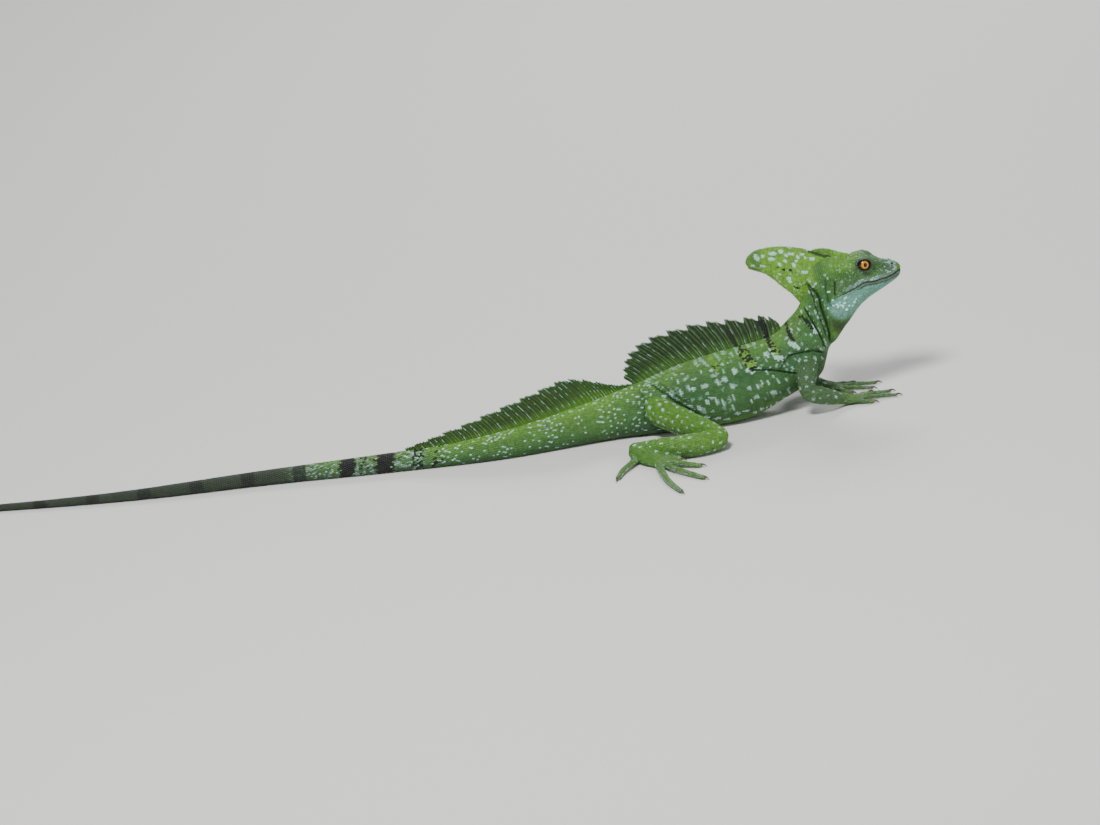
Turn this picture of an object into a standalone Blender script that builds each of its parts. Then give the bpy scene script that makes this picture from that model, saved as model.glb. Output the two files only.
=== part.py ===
"""A male green basilisk at life size, lying on the floor with its head raised, as a still museum model.

The frame is +Z up with the floor at z = 0. The head points along +X and the animal's right side faces -Y.
The origin is the middle of the belly's flat. Sizes are in millimetres, and MM turns them into metres.
"""

import math

import bmesh
import bpy
from mathutils import Vector

# Driving dimensions, in millimetres
MM = 0.001
GAP = 0.3  # clearance that neighbouring solids keep
SINK = 3.0  # how deep a fin's root starts inside the body
EYE_RADIUS = 4.7
EYE_CENTRE = (128.8, 8.0, 98.0)  # x, distance from the head's middle plane, z
HEAD_PLANE = 12.0  # y of the head's middle plane
TOE_RADIUS = 1.8
FINGER_RADIUS = 1.4
CLAW_LENGTH = 4.6
LID_TILT = math.radians(18)  # how far the lids' ring faces upwards

# Where the middle of the body runs in plan: x and y. The tail swings a little, and the chest turns away.
SWAY = [
    (-660, 104), (-610, 76), (-560, 54), (-490, 35), (-400, 18), (-300, 9), (-215, -2), (-140, -8),
    (-60, 0), (-20, 0), (20, 1), (62, 5), (92, 10), (112, HEAD_PLANE), (180, HEAD_PLANE),
]

# Ribs of the body, snout to tail tip: back x, back z, belly x, belly z, half width, and how much the
# section narrows towards the back. A belly under zero is pressed flat on the floor.
HEAD_RIBS = [
    (154.4, 90.0, 154.0, 86.4, 1.8, 0.0),
    (153.2, 92.4, 152.4, 83.2, 4.2, 0.05),
    (149.1, 95.0, 147.6, 80.2, 6.0, 0.15),
    (144.4, 96.6, 141.0, 76.8, 7.4, 0.22),
    (139.5, 98.0, 134.5, 73.8, 8.9, 0.28),
    (135.0, 99.8, 128.6, 70.8, 10.4, 0.32),
    (129.5, 102.4, 123.0, 66.8, 11.8, 0.34),
    (123.7, 104.2, 118.3, 62.0, 12.9, 0.34),
    (117.5, 104.4, 114.4, 57.4, 13.7, 0.36),
    (110.8, 105.0, 110.2, 53.0, 13.4, 0.38),
]
NECK_RIBS = [
    (104.0, 104.8, 106.4, 48.4, 12.2, 0.38),
    (97.4, 102.6, 103.2, 44.4, 11.0, 0.34),
    (91.0, 97.2, 100.4, 42.4, 10.0, 0.26),
    (86.8, 88.2, 98.0, 40.4, 9.6, 0.16),
    (83.4, 77.8, 96.4, 38.0, 10.0, 0.12),
    (78.4, 70.0, 95.2, 35.2, 11.2, 0.16),
    (71.9, 64.5, 93.4, 30.4, 12.8, 0.2),
]
TRUNK_RIBS = [
    (66.6, 60.4, 89.6, 23.0, 14.4, 0.24),
    (60.8, 57.0, 81.5, 16.8, 15.8, 0.26),
    (53.4, 54.8, 70.6, 13.6, 16.8, 0.26),
    (42.5, 53.2, 57.7, 8.4, 17.6, 0.26),
    (31.7, 52.2, 44.0, 2.8, 18.5, 0.26),
    (17.3, 50.9, 28.0, -0.9, 19.0, 0.26),
    (2.8, 48.6, 10.0, -1.3, 18.6, 0.26),
    (-11.7, 45.7, -7.5, -1.3, 17.2, 0.26),
    (-26.5, 41.4, -25.2, -1.1, 15.4, 0.24),
    (-38.5, 37.6, -39.4, -0.9, 13.8, 0.22),
]
# Tail stations, seen upright: x, height, half width
TAIL_STATIONS = [
    (-52, 34.0, 12.6), (-67, 30.6, 11.4), (-96, 25.4, 9.6), (-125, 21.2, 8.0), (-154, 17.6, 6.9),
    (-183, 14.8, 6.2), (-211, 13.3, 5.8), (-246, 12.0, 5.5), (-283, 10.6, 5.0), (-320, 9.5, 4.6),
    (-354, 8.5, 4.2), (-390, 7.3, 3.6), (-424, 6.2, 3.1), (-460, 5.3, 2.6), (-494, 4.6, 2.3),
    (-530, 3.8, 1.9), (-565, 3.0, 1.5), (-600, 2.2, 1.1), (-622, 1.5, 0.75),
]
TAIL_PRESS = 0.5  # how far the tail's underside is pressed flat
TAIL_RIBS = [(x, tall, x, -TAIL_PRESS, wide, 0.1) for x, tall, wide in TAIL_STATIONS]
BODY_RIBS = HEAD_RIBS + NECK_RIBS + TRUNK_RIBS + TAIL_RIBS

# The body's nodes: name, first rib, last rib, points round, rings
HEAD_END = len(HEAD_RIBS) + 0.4
NECK_END = len(HEAD_RIBS) + len(NECK_RIBS)
TRUNK_END = NECK_END + len(TRUNK_RIBS) - 1
TAIL_CUTS = [TRUNK_END, TRUNK_END + 7, TRUNK_END + 11, TRUNK_END + 15, len(BODY_RIBS) - 1]
BODY_NODES = [
    ("head", 0, HEAD_END, 24, 16),
    ("neck", HEAD_END, NECK_END, 22, 12),
    ("torso", NECK_END, TRUNK_END, 24, 20),
    ("tail_base", TAIL_CUTS[0], TAIL_CUTS[1], 20, 18),
    ("tail_middle", TAIL_CUTS[1], TAIL_CUTS[2], 14, 14),
    ("tail_rear", TAIL_CUTS[2], TAIL_CUTS[3], 12, 14),
    ("tail_tip", TAIL_CUTS[3], TAIL_CUTS[4], 10, 12),
]

# Fins on the back and tail: x of the root, how far the ray leans back in degrees, and its length
SAIL_STATIONS = [
    (66, 14, 5), (58, 8, 14), (48, 10, 17), (36, 20, 21), (24, 28, 25), (10, 35, 27.5), (-4, 41, 29),
    (-16, 46, 27), (-26, 46, 21.5), (-34, 46, 14), (-40, 46, 7),
]
SAIL_RAYS = 27
TAIL_FIN_STATIONS = [
    (-42, 34, 1), (-50, 34, 4), (-58, 34, 11), (-66, 34, 19), (-76, 35, 24), (-92, 35, 23),
    (-112, 35, 20.5), (-134, 35, 17), (-156, 35, 12.5), (-176, 35, 8.5), (-192, 35, 5), (-204, 35, 2),
]
TAIL_FIN_RAYS = 31
FIN_ROOT_HALF = 1.5  # half the thickness at the root
FIN_EDGE_HALF = 0.35  # half the thickness at the edge
RAY_HALF = 0.5  # how far a ray stands out of the membrane on each side

# The plume behind the head, and the small crest before it: upper x, upper z, lower x, lower z, half width
PLUME_STATIONS = [
    (48.2, 110.8, 48.2, 107.4, 0.7), (50.0, 113.8, 49.8, 104.6, 1.1), (55.0, 116.8, 54.2, 102.4, 1.5),
    (62.0, 117.8, 60.2, 99.4, 1.8), (70.2, 117.6, 66.0, 93.8, 2.0), (77.0, 116.6, 70.8, 88.2, 2.2),
    (84.0, 114.8, 76.6, 82.0, 2.4), (91.0, 112.2, 83.0, 74.0, 2.7), (98.0, 107.6, 90.4, 77.0, 3.0),
    (106.0, 104.0, 98.0, 84.0, 3.2),
]
SMALL_CREST_STATIONS = [
    (92.6, 110.6, 96.0, 99.0, 0.7), (97.0, 111.6, 99.0, 99.0, 1.0), (101.2, 111.6, 102.0, 99.0, 1.2),
    (105.0, 110.8, 105.0, 100.0, 1.3), (109.5, 108.9, 109.0, 100.0, 1.3), (114.5, 106.6, 113.5, 100.0, 1.2),
    (118.5, 105.2, 118.0, 100.0, 1.0), (121.0, 103.8, 121.0, 100.0, 0.8),
]

# Head details, right side: x and z seen from the side
MOUTH_LINE = [
    (154.0, 88.4), (151.5, 87.8), (148.0, 87.0), (144.0, 86.2), (139.5, 85.7), (135.0, 85.4),
    (129.5, 85.2), (124.0, 84.0), (118.5, 83.0), (113.0, 82.2),
]
NOSTRIL = (149.0, 93.0)
EARDRUM = (106.8, 85.0)
NECK_FOLDS = [
    [(97, 91), (98.6, 84), (99.2, 74), (98.6, 62), (97.6, 50), (96.6, 44)],
    [(88.8, 79), (90.6, 72), (92.4, 62), (94, 50), (95, 42)],
]

# Legs, right side: joints as x, distance outward from the middle of the body, z, half width, half height
THIGH = [
    (-36, 2, 20, 7, 9), (-31, 10, 20, 8.4, 10.4), (-20, 23, 17, 8.6, 10.2), (-6, 38, 13.5, 7.8, 9.0),
    (5, 49, 11.2, 6.8, 7.6), (11.5, 55, 9.4, 5.6, 6.4),
]
SHANK = [
    (10.5, 59.5, 7.6, 5.2, 6.4), (0, 62.5, 8.4, 6.6, 7.6), (-14, 62, 8.4, 7.2, 7.8), (-28, 57, 7.6, 6.2, 6.8),
    (-41, 50, 6.2, 4.8, 5.2), (-47.5, 47, 5.4, 4.4, 4.8),
]
FOOT = [
    (-48.5, 50.5, 4.6, 4.4, 4.4), (-45, 56, 4.2, 5.6, 4.2), (-40, 63, 3.5, 6.4, 3.6), (-34.5, 70, 2.7, 5.8, 2.8),
    (-32, 74, 2.2, 4.6, 2.2),
]
TOES = {
    "first": [(-36, 63), (-27, 67), (-18, 69)],
    "second": [(-34, 67), (-24, 76), (-13, 83), (-5, 86)],
    "third": [(-33, 70), (-25, 86), (-14, 100), (-4, 111)],
    "fourth": [(-34, 72), (-32, 92), (-28, 112), (-21, 131)],
    "fifth": [(-46, 57), (-52, 67), (-59, 77), (-63, 87)],
}
UPPER_ARM = [
    (79, 4, 35, 7, 7.5), (79.5, 12, 34, 7.4, 8.0), (79, 19, 30, 6.8, 7.0), (77.5, 23.5, 24.8, 6.0, 6.0),
    (77, 25.5, 20.6, 5.2, 5.4),
]
FOREARM = [
    (78.5, 26, 17.0, 5.0, 5.6), (84, 24.5, 14.4, 6.0, 6.2), (91, 21.5, 10.4, 5.6, 5.6), (98, 18.5, 6.8, 4.4, 4.4),
    (103, 16.8, 5.0, 3.8, 3.6),
]
HAND = [
    (102.5, 17, 4.4, 4.0, 3.4), (106, 16, 3.7, 5.2, 3.4), (110.5, 14.8, 2.8, 5.2, 2.6), (114, 14, 2.2, 4.0, 2.1),
]
FINGERS = {
    "first": [(106, 13), (108, 8.5), (109, 5)],
    "second": [(108, 12), (115, 7), (121, 2.5)],
    "third": [(110, 13), (120, 10), (128, 7.5), (135, 6)],
    "fourth": [(110, 15), (120, 15.5), (130, 15), (139, 15.5)],
    "fifth": [(107, 17.5), (115, 21), (122, 22.5)],
}
# The far limbs rest in the same way, a little further back and closer folded: x shift, widening
FAR_HIND = (-4.0, 0.94)
FAR_FORE = (-12.0, 1.0)

LEG_GREEN = (0.16, 0.36, 0.05)
FIN_GREEN = (0.13, 0.25, 0.03)
FOOT_GREEN = (0.24, 0.36, 0.14)
TAIL_GREEN = (0.06, 0.11, 0.05)
IRIS_ORANGE = (0.8, 0.36, 0.04)
BODY_COLOURS = {
    "head": (0.2, 0.4, 0.2), "neck": (0.18, 0.38, 0.1), "torso": (0.16, 0.36, 0.05),
    "tail_base": (0.16, 0.36, 0.05), "tail_middle": TAIL_GREEN, "tail_rear": TAIL_GREEN,
    "tail_tip": TAIL_GREEN,
}


def clear_scene():
    for obj in list(bpy.data.objects):
        bpy.data.objects.remove(obj, do_unlink=True)


def skin(node, colour, roughness=0.5):
    """The node's own material."""
    material = bpy.data.materials.new(node + "_skin")
    material.use_nodes = True
    shader = material.node_tree.nodes["Principled BSDF"]
    shader.inputs["Base Color"].default_value = (*colour, 1.0)
    shader.inputs["Roughness"].default_value = roughness
    shader.inputs["Metallic"].default_value = 0.0
    return material


def curve_through(stations, t):
    """Catmull-Rom through the stations, where t counts stations. Each number of a station is smoothed."""
    last = len(stations) - 1
    i = min(max(int(math.floor(t)), 0), last - 1)
    f = t - i
    p0, p1, p2, p3 = (stations[min(max(k, 0), last)] for k in (i - 1, i, i + 1, i + 2))
    return [
        0.5 * (2 * b + (c - a) * f + (2 * a - 5 * b + 4 * c - d) * f * f + (3 * b - a - 3 * c + d) * f**3)
        for a, b, c, d in zip(p0, p1, p2, p3)
    ]


def sway_at(x):
    """y of the body's middle and the heading there, for a place along the body."""
    def y_at(place):
        place = min(max(place, SWAY[0][0]), SWAY[-1][0])
        k = max(i for i in range(len(SWAY) - 1) if SWAY[i][0] <= place)
        f = (place - SWAY[k][0]) / (SWAY[k + 1][0] - SWAY[k][0])
        slopes = []
        for i in (k, k + 1):
            a, b = SWAY[max(i - 1, 0)], SWAY[min(i + 1, len(SWAY) - 1)]
            slopes.append((b[1] - a[1]) / (b[0] - a[0]))
        span = SWAY[k + 1][0] - SWAY[k][0]
        y0, y1 = SWAY[k][1], SWAY[k + 1][1]
        return (
            y0 * (1 + 2 * f) * (1 - f) ** 2
            + y1 * f * f * (3 - 2 * f)
            + span * (slopes[0] * f * (1 - f) ** 2 - slopes[1] * f * f * (1 - f))
        )
    return y_at(x), math.atan2(y_at(x + 1) - y_at(x - 1), 2)


def bent(x, lateral, z):
    """A place given along the straight body, moved to where the body's bend in plan puts it."""
    y, heading = sway_at(x)
    return Vector((x - lateral * math.sin(heading), y + lateral * math.cos(heading), z))


def body_ring(t, sides, shift=0.0):
    """One section of the body at rib t, moved by shift along the body towards the tail."""
    back_x, back_z, belly_x, belly_z, half, narrow = curve_through(BODY_RIBS, t)
    middle = Vector(((back_x + belly_x) / 2, 0, (back_z + belly_z) / 2))
    up = Vector(((back_x - belly_x) / 2, 0, (back_z - belly_z) / 2))
    rearward = Vector((-up.z, 0, up.x)).normalized() * shift
    ring = []
    for k in range(sides):
        angle = 2 * math.pi * k / sides
        rise, side = math.cos(angle), math.sin(angle)
        lateral = half * math.copysign(abs(side) ** 0.9, side) * (1 - narrow * rise)
        place = middle + up * rise + rearward
        ring.append(bent(place.x, -lateral, place.z))
    return ring


def new_object(name, mesh, colour):
    obj = bpy.data.objects.new(name, mesh)
    model.objects.link(obj)
    if colour is not None:
        mesh.materials.append(skin(name, colour))
    mesh.shade_smooth()
    return obj


def loft(name, rings, colour=None):
    """A closed solid through rings of equal count, as triangles that are split alike on both of its faces."""
    bm = bmesh.new()
    rows = [[bm.verts.new((p.x * MM, p.y * MM, max(p.z, 0.0) * MM)) for p in ring] for ring in rings]
    count = len(rings[0])
    for near, far in zip(rows, rows[1:]):
        for i in range(count):
            j = (i + 1) % count
            if i < count // 2:
                bm.faces.new((near[i], near[j], far[j]))
                bm.faces.new((near[i], far[j], far[i]))
            else:
                bm.faces.new((near[i], near[j], far[i]))
                bm.faces.new((near[j], far[j], far[i]))
    for row in (rows[0], rows[-1]):
        centre = sum((v.co for v in row), Vector()) / count
        hub = bm.verts.new(centre)
        for i in range(count):
            bm.faces.new((row[i], row[(i + 1) % count], hub))
    bmesh.ops.recalc_face_normals(bm, faces=bm.faces)
    mesh = bpy.data.meshes.new(name)
    bm.to_mesh(mesh)
    bm.free()
    return new_object(name, mesh, colour)


def limb_rings(path, sides, up=Vector((0, 0, 1)), fine=2):
    """Rings along a limb, fine of them for each length between two joints of its path.

    A path point holds a place, half width and half height, and the limb's ends are rounded.
    """
    stations = [tuple(place) + (wide, tall) for place, wide, tall in path]
    steps = fine * (len(stations) - 1)
    samples = [curve_through(stations, k / fine) for k in range(steps + 1)]
    places = [Vector(s[:3]) for s in samples]
    rings = []
    for k, sample in enumerate(samples):
        along = (places[min(k + 1, steps)] - places[max(k - 1, 0)]).normalized()
        side = along.cross(up).normalized()
        top = side.cross(along)
        shrinks = [(0.0, 1.0)]
        if k == 0:
            shrinks = [(-0.85, 0.5), (-0.5, 0.86), (0.0, 1.0)][2 - fine:]
        elif k == steps:
            shrinks = [(0.0, 1.0), (0.5, 0.86), (0.85, 0.5)][:1 + fine]
        for ahead, share in shrinks:
            wide, tall = sample[3] * share, sample[4] * share
            centre = places[k] + along * ahead * sample[4]
            rings.append([
                centre + side * wide * math.cos(a) + top * tall * math.sin(a)
                for a in (2 * math.pi * i / sides for i in range(sides))
            ])
    return rings


def combine(obj, others, operation, solver="EXACT"):
    """Joins others to obj or cuts them from it, and removes them. Only the largest closed piece stays."""
    tools = bpy.data.collections.new("tools")
    bpy.context.scene.collection.children.link(tools)
    for other in others:
        for owner in list(other.users_collection):
            owner.objects.unlink(other)
        tools.objects.link(other)
    step = obj.modifiers.new("join", "BOOLEAN")
    step.operation = operation
    step.operand_type = "COLLECTION"
    step.collection = tools
    step.solver = solver
    graph = bpy.context.evaluated_depsgraph_get()
    mesh = bpy.data.meshes.new_from_object(obj.evaluated_get(graph))
    old = obj.data
    obj.modifiers.remove(step)
    obj.data = mesh
    bpy.data.meshes.remove(old)
    for other in others:
        bpy.data.objects.remove(other, do_unlink=True)
    bpy.data.collections.remove(tools)
    keep_largest(obj)
    return obj


def keep_largest(obj):
    bm = bmesh.new()
    bm.from_mesh(obj.data)
    bmesh.ops.triangulate(bm, faces=bm.faces)
    left, shells = set(bm.faces), []
    while left:
        shell, front = set(), [left.pop()]
        while front:
            face = front.pop()
            shell.add(face)
            for edge in face.edges:
                for other in edge.link_faces:
                    if other in left:
                        left.discard(other)
                        front.append(other)
        shells.append(shell)
    def volume(shell):
        return abs(sum(f.calc_center_median().dot(f.normal) * f.calc_area() for f in shell))
    largest = max(shells, key=volume)
    loose = [f for shell in shells if shell is not largest for f in shell]
    bmesh.ops.delete(bm, geom=loose, context="FACES")
    bm.to_mesh(obj.data)
    bm.free()
    obj.data.shade_smooth()


def grown(source, by=GAP):
    """A solid whose surface is moved outwards from the source mesh, to cut a neighbour with a clearance."""
    mesh = source.copy()
    bm = bmesh.new()
    bm.from_mesh(mesh)
    bmesh.ops.remove_doubles(bm, verts=bm.verts, dist=0.01 * MM)
    bm.normal_update()
    moves = [vert.normal * by * MM for vert in bm.verts]
    for vert, move in zip(bm.verts, moves):
        vert.co += move
    bm.to_mesh(mesh)
    bm.free()
    return new_object("grown", mesh, None)


def fit_to(obj, *neighbours):
    """Cuts obj back from its neighbours' meshes, so that it meets them face to face."""
    for neighbour in neighbours:
        combine(obj, [grown(neighbour)], "DIFFERENCE")
    return obj


def ball(name, centre, radii, segments=16, rings=10):
    """An ellipsoid from the sphere primitive."""
    bpy.ops.mesh.primitive_uv_sphere_add(segments=segments, ring_count=rings, radius=1.0)
    obj = bpy.context.object
    obj.name = name
    for owner in list(obj.users_collection):
        owner.objects.unlink(obj)
    model.objects.link(obj)
    for vert in obj.data.vertices:
        vert.co = Vector([(c + v * r) * MM for c, v, r in zip(centre, vert.co, radii)])
    obj.data.shade_smooth()
    return obj


def surface_y(obj, x, z, side):
    """y of the outer surface of obj at x and z, from its right side (-1) or its left side (1)."""
    start = Vector((x, 300 * side, z)) * MM
    hit, place, _, _ = obj.ray_cast(start, Vector((0, -side, 0)))
    return place.y / MM if hit else HEAD_PLANE + side * 2.0


def skin_tube(name, obj, line, radius, side, sides=5, depth=0.0):
    """A tube that follows a side-view line along the surface of obj, depth below that surface."""
    path = []
    for x, z in line:
        y = surface_y(obj, x, z, side)
        path.append(((x, y - side * depth, z), radius, radius))
    return loft(name, limb_rings(path, sides, up=Vector((0, 1, 0)), fine=1))


def build_body_nodes():
    nodes = {}
    for name, first, last, sides, count in BODY_NODES:
        rings = [body_ring(first + (last - first) * k / count, sides) for k in range(count + 1)]
        if first > 0:
            rings[0] = body_ring(first, sides, GAP / 2)
        if last < len(BODY_RIBS) - 1:
            rings[-1] = body_ring(last, sides, -GAP / 2)
        nodes[name] = loft(name, rings, BODY_COLOURS[name])
    return nodes


def add_head_details(head):
    """Brows, lids, eye sockets, lips, mouth line, nostrils and eardrums."""
    eye_x, eye_out, eye_z = EYE_CENTRE
    joined, cut = [], []
    for side in (-1, 1):
        tag = "right" if side < 0 else "left"
        eye_y = HEAD_PLANE + side * eye_out
        joined.append(ball("brow_" + tag, (eye_x - 2.4, eye_y - side * 2.2, eye_z + 2.2), (8.2, 4.2, 3.2), 12, 6))
        bpy.ops.mesh.primitive_torus_add(
            major_segments=18, minor_segments=5, major_radius=4.8 * MM, minor_radius=1.1 * MM,
            location=(eye_x * MM, (eye_y + side * 1.8) * MM, eye_z * MM),
            rotation=(side * (LID_TILT - math.pi / 2), 0, 0),
        )
        lids = bpy.context.object
        bpy.ops.object.transform_apply(location=True, rotation=True, scale=True)
        joined.append(lids)
        ridge = [(eye_x + 7, eye_z - 1.6), (eye_x + 13, eye_z - 3.6), (NOSTRIL[0] - 1.5, NOSTRIL[1])]
        joined.append(skin_tube("canthus_" + tag, head, ridge, 1.0, side, depth=0.3))
        joined.append(skin_tube("lips_" + tag, head, MOUTH_LINE[1::2], 1.9, side, sides=6, depth=1.0))
        cut.append(skin_tube("mouth_" + tag, head, MOUTH_LINE[::2], 0.5, side, sides=4, depth=-0.9))
        cut.append(ball("socket_" + tag, (eye_x, eye_y, eye_z), [EYE_RADIUS + GAP] * 3, 16, 8))
        x, z = NOSTRIL
        cut.append(ball("nostril_" + tag, (x, surface_y(head, x, z, side), z), (0.75, 0.9, 0.6), 6, 4))
        x, z = EARDRUM
        cut.append(ball("eardrum_" + tag, (x, surface_y(head, x, z, side) + side * 0.4, z), (3.4, 1.4, 5.4), 12, 6))
    combine(head, joined, "UNION")
    combine(head, cut, "DIFFERENCE")


def add_eyes():
    for side, name in ((-1, "eye_right"), (1, "eye_left")):
        x, out, z = EYE_CENTRE
        eye = ball(name, (x, HEAD_PLANE + side * out, z), [EYE_RADIUS] * 3, 16, 8)
        eye.data.materials.append(skin(name, IRIS_ORANGE, 0.1))


def add_neck_folds(neck):
    """The fold that hangs at the throat runs up each side of the neck, with a second one behind it."""
    folds = [
        skin_tube(f"fold_{i}_{side}", neck, line, 1.5, side, depth=0.7)
        for side in (-1, 1)
        for i, line in enumerate(NECK_FOLDS)
    ]
    combine(neck, folds, "UNION")


def plate(name, stations, sides, y):
    """A thin upright crest: each station is an ellipse between its upper and lower point."""
    rings = []
    for k in range(2 * len(stations) - 1):
        upper_x, upper_z, lower_x, lower_z, half = curve_through(stations, k / 2)
        middle = Vector(((upper_x + lower_x) / 2, y, (upper_z + lower_z) / 2))
        up = Vector(((upper_x - lower_x) / 2, 0, (upper_z - lower_z) / 2))
        rings.append([
            middle + up * math.cos(a) + Vector((0, -half * math.sin(a), 0))
            for a in (2 * math.pi * i / sides for i in range(sides))
        ])
    return loft(name, rings, FIN_GREEN)


def back_line(x):
    """z of the back over a place x, read along the ribs of trunk and tail."""
    ribs = BODY_RIBS[NECK_END - 2:]
    for a, b in zip(ribs, ribs[1:]):
        if b[0] <= x <= a[0]:
            return a[1] + (b[1] - a[1]) * (a[0] - x) / (a[0] - b[0])
    return ribs[-1][1]


def fin(name, stations, rays, steps, rows, scallop):
    """A membrane on the back. Its rays are ridges, and its edge is notched between them.

    scallop is how many rays make one lobe of the edge, and steps how deep the lobes are cut.
    """
    columns = 2 * rays - 1
    rings = []
    for k in range(columns):
        root_x, lean, length = curve_through(stations, (len(stations) - 1) * k / (columns - 1))
        on_ray = k % 2 == 0
        lobe = (k / 2 % scallop) / scallop
        reach = length * (1.0 if on_ray else 0.93) + steps * (lobe - 0.4) * min(1.0, length / 12)
        reach = max(reach, 0.8)
        lean = math.radians(lean)
        root = Vector((root_x, 0, back_line(root_x) - SINK))
        along = Vector((-math.sin(lean), 0, math.cos(lean)))
        ring = []
        for side in (-1, 1):
            for row in range(rows):
                share = row / (rows - 1) if side < 0 else 1 - row / (rows - 1)
                place = root + along * (SINK + reach) * share
                half = FIN_ROOT_HALF + (FIN_EDGE_HALF - FIN_ROOT_HALF) * share**0.6
                if on_ray:
                    half += RAY_HALF * (1 - 0.6 * share)
                ring.append(bent(place.x, side * half, place.z))
        rings.append(ring)
    return loft(name, rings, FIN_GREEN)


def digit(name, plan, root_height, radius, side, shift, wide):
    """A toe or finger with its claw. It arches a little between its root and its tip, which rests on the floor."""
    count = len(plan) - 1
    path = []
    for k, (x, out) in enumerate(plan):
        share = k / count
        thick = radius * (1.25 - 0.4 * share)
        z = root_height * (1 - share) ** 2 + thick * 0.85 + 0.9 * math.sin(math.pi * share)
        y, _ = sway_at(x)
        path.append(((x + shift, y + side * out * wide, z), thick, thick * 0.95))
    (tip_x, tip_y, tip_z), thick, _ = path[-1]
    before = Vector(path[-2][0])
    ahead = (Vector((tip_x, tip_y, tip_z)) - before)
    ahead.z = 0
    ahead.normalize()
    start = Vector((tip_x, tip_y, tip_z + 0.3))
    claw = []
    for share, high, size in ((-0.25, 0.0, 0.85), (0.25, 0.55, 0.8), (0.65, 0.1, 0.55), (1.0, -1.0, 0.28)):
        place = start + ahead * CLAW_LENGTH * share + Vector((0, 0, high))
        claw.append((tuple(place), size, size * 1.1))
    return [
        loft(name, limb_rings(path, 5, fine=1)),
        loft(name + "_claw", limb_rings(claw, 4, fine=1)),
    ]


def placed(path, side, shift, wide):
    """A limb's joints, moved to its side of the bent body."""
    return [
        ((x + shift, sway_at(x)[0] + side * out * wide, z), half_wide, half_tall)
        for x, out, z, half_wide, half_tall in path
    ]


def build_limbs(plain):
    forward = Vector((1, 0, 0))
    for side, tag in ((-1, "right"), (1, "left")):
        shift, wide = (0.0, 1.0) if side < 0 else FAR_HIND
        thigh = loft(tag + "_thigh", limb_rings(placed(THIGH, side, shift, wide), 12), LEG_GREEN)
        shank = loft(tag + "_shank", limb_rings(placed(SHANK, side, shift, wide), 10), LEG_GREEN)
        foot = loft(tag + "_hind_foot", limb_rings(placed(FOOT, side, shift, wide), 8, fine=1), FOOT_GREEN)
        toes = []
        for toe, plan in TOES.items():
            toes += digit(f"{tag}_{toe}_toe", plan, 1.6, TOE_RADIUS, side, shift, wide)
        combine(foot, toes, "UNION")
        thigh_plain, shank_plain = thigh.data.copy(), shank.data.copy()
        fit_to(thigh, plain["torso"], plain["tail_base"])
        fit_to(shank, thigh_plain)
        fit_to(foot, shank_plain)
        shift, wide = (0.0, 1.0) if side < 0 else FAR_FORE
        arm = loft(tag + "_upper_arm", limb_rings(placed(UPPER_ARM, side, shift, wide), 10, forward), LEG_GREEN)
        forearm = loft(tag + "_forearm", limb_rings(placed(FOREARM, side, shift, wide), 10), LEG_GREEN)
        hand = loft(tag + "_fore_foot", limb_rings(placed(HAND, side, shift, wide), 8, fine=1), FOOT_GREEN)
        fingers = []
        for finger, plan in FINGERS.items():
            fingers += digit(f"{tag}_{finger}_finger", plan, 1.2, FINGER_RADIUS, side, shift, wide)
        combine(hand, fingers, "UNION")
        arm_plain, forearm_plain = arm.data.copy(), forearm.data.copy()
        fit_to(arm, plain["torso"], plain["neck"])
        fit_to(forearm, arm_plain)
        fit_to(hand, forearm_plain)


def build():
    nodes = build_body_nodes()
    plain = {name: obj.data.copy() for name, obj in nodes.items()}
    add_head_details(nodes["head"])
    add_eyes()
    add_neck_folds(nodes["neck"])
    plume = plate("head_plume", PLUME_STATIONS, 12, HEAD_PLANE)
    plume_plain = plume.data.copy()
    fit_to(plume, plain["head"], plain["neck"])
    small = plate("front_crest", SMALL_CREST_STATIONS, 8, HEAD_PLANE)
    fit_to(small, plain["head"], plain["neck"], plume_plain)
    sail = fin("back_sail", SAIL_STATIONS, SAIL_RAYS, 4.6, 5, 2)
    sail_plain = sail.data.copy()
    fit_to(sail, plain["torso"], plain["neck"], plain["tail_base"])
    tail_fin = fin("tail_fin", TAIL_FIN_STATIONS, TAIL_FIN_RAYS, 3.2, 4, 2)
    fit_to(tail_fin, plain["tail_base"], plain["torso"], sail_plain)
    build_limbs(plain)
    for mesh in [m for m in bpy.data.meshes if not m.users]:
        bpy.data.meshes.remove(mesh)


clear_scene()
model = bpy.data.collections.new("green_basilisk")
bpy.context.scene.collection.children.link(model)
build()
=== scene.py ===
# %% [markdown]
# # A green basilisk, dressed
# This notebook dresses the solid model of a male green basilisk: one skin, scales over it, fins with rays,
# eyes, claws, and a plain studio around it. The solids give every size and place. Each step says what the
# thing is on the real animal, how it could be made, and why it is made the way it is.

# %% Load the solid model
import math

import bpy
import bmesh
import numpy as np
from mathutils import Matrix, Vector
from mathutils.bvhtree import BVHTree
from mathutils.kdtree import KDTree


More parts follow.
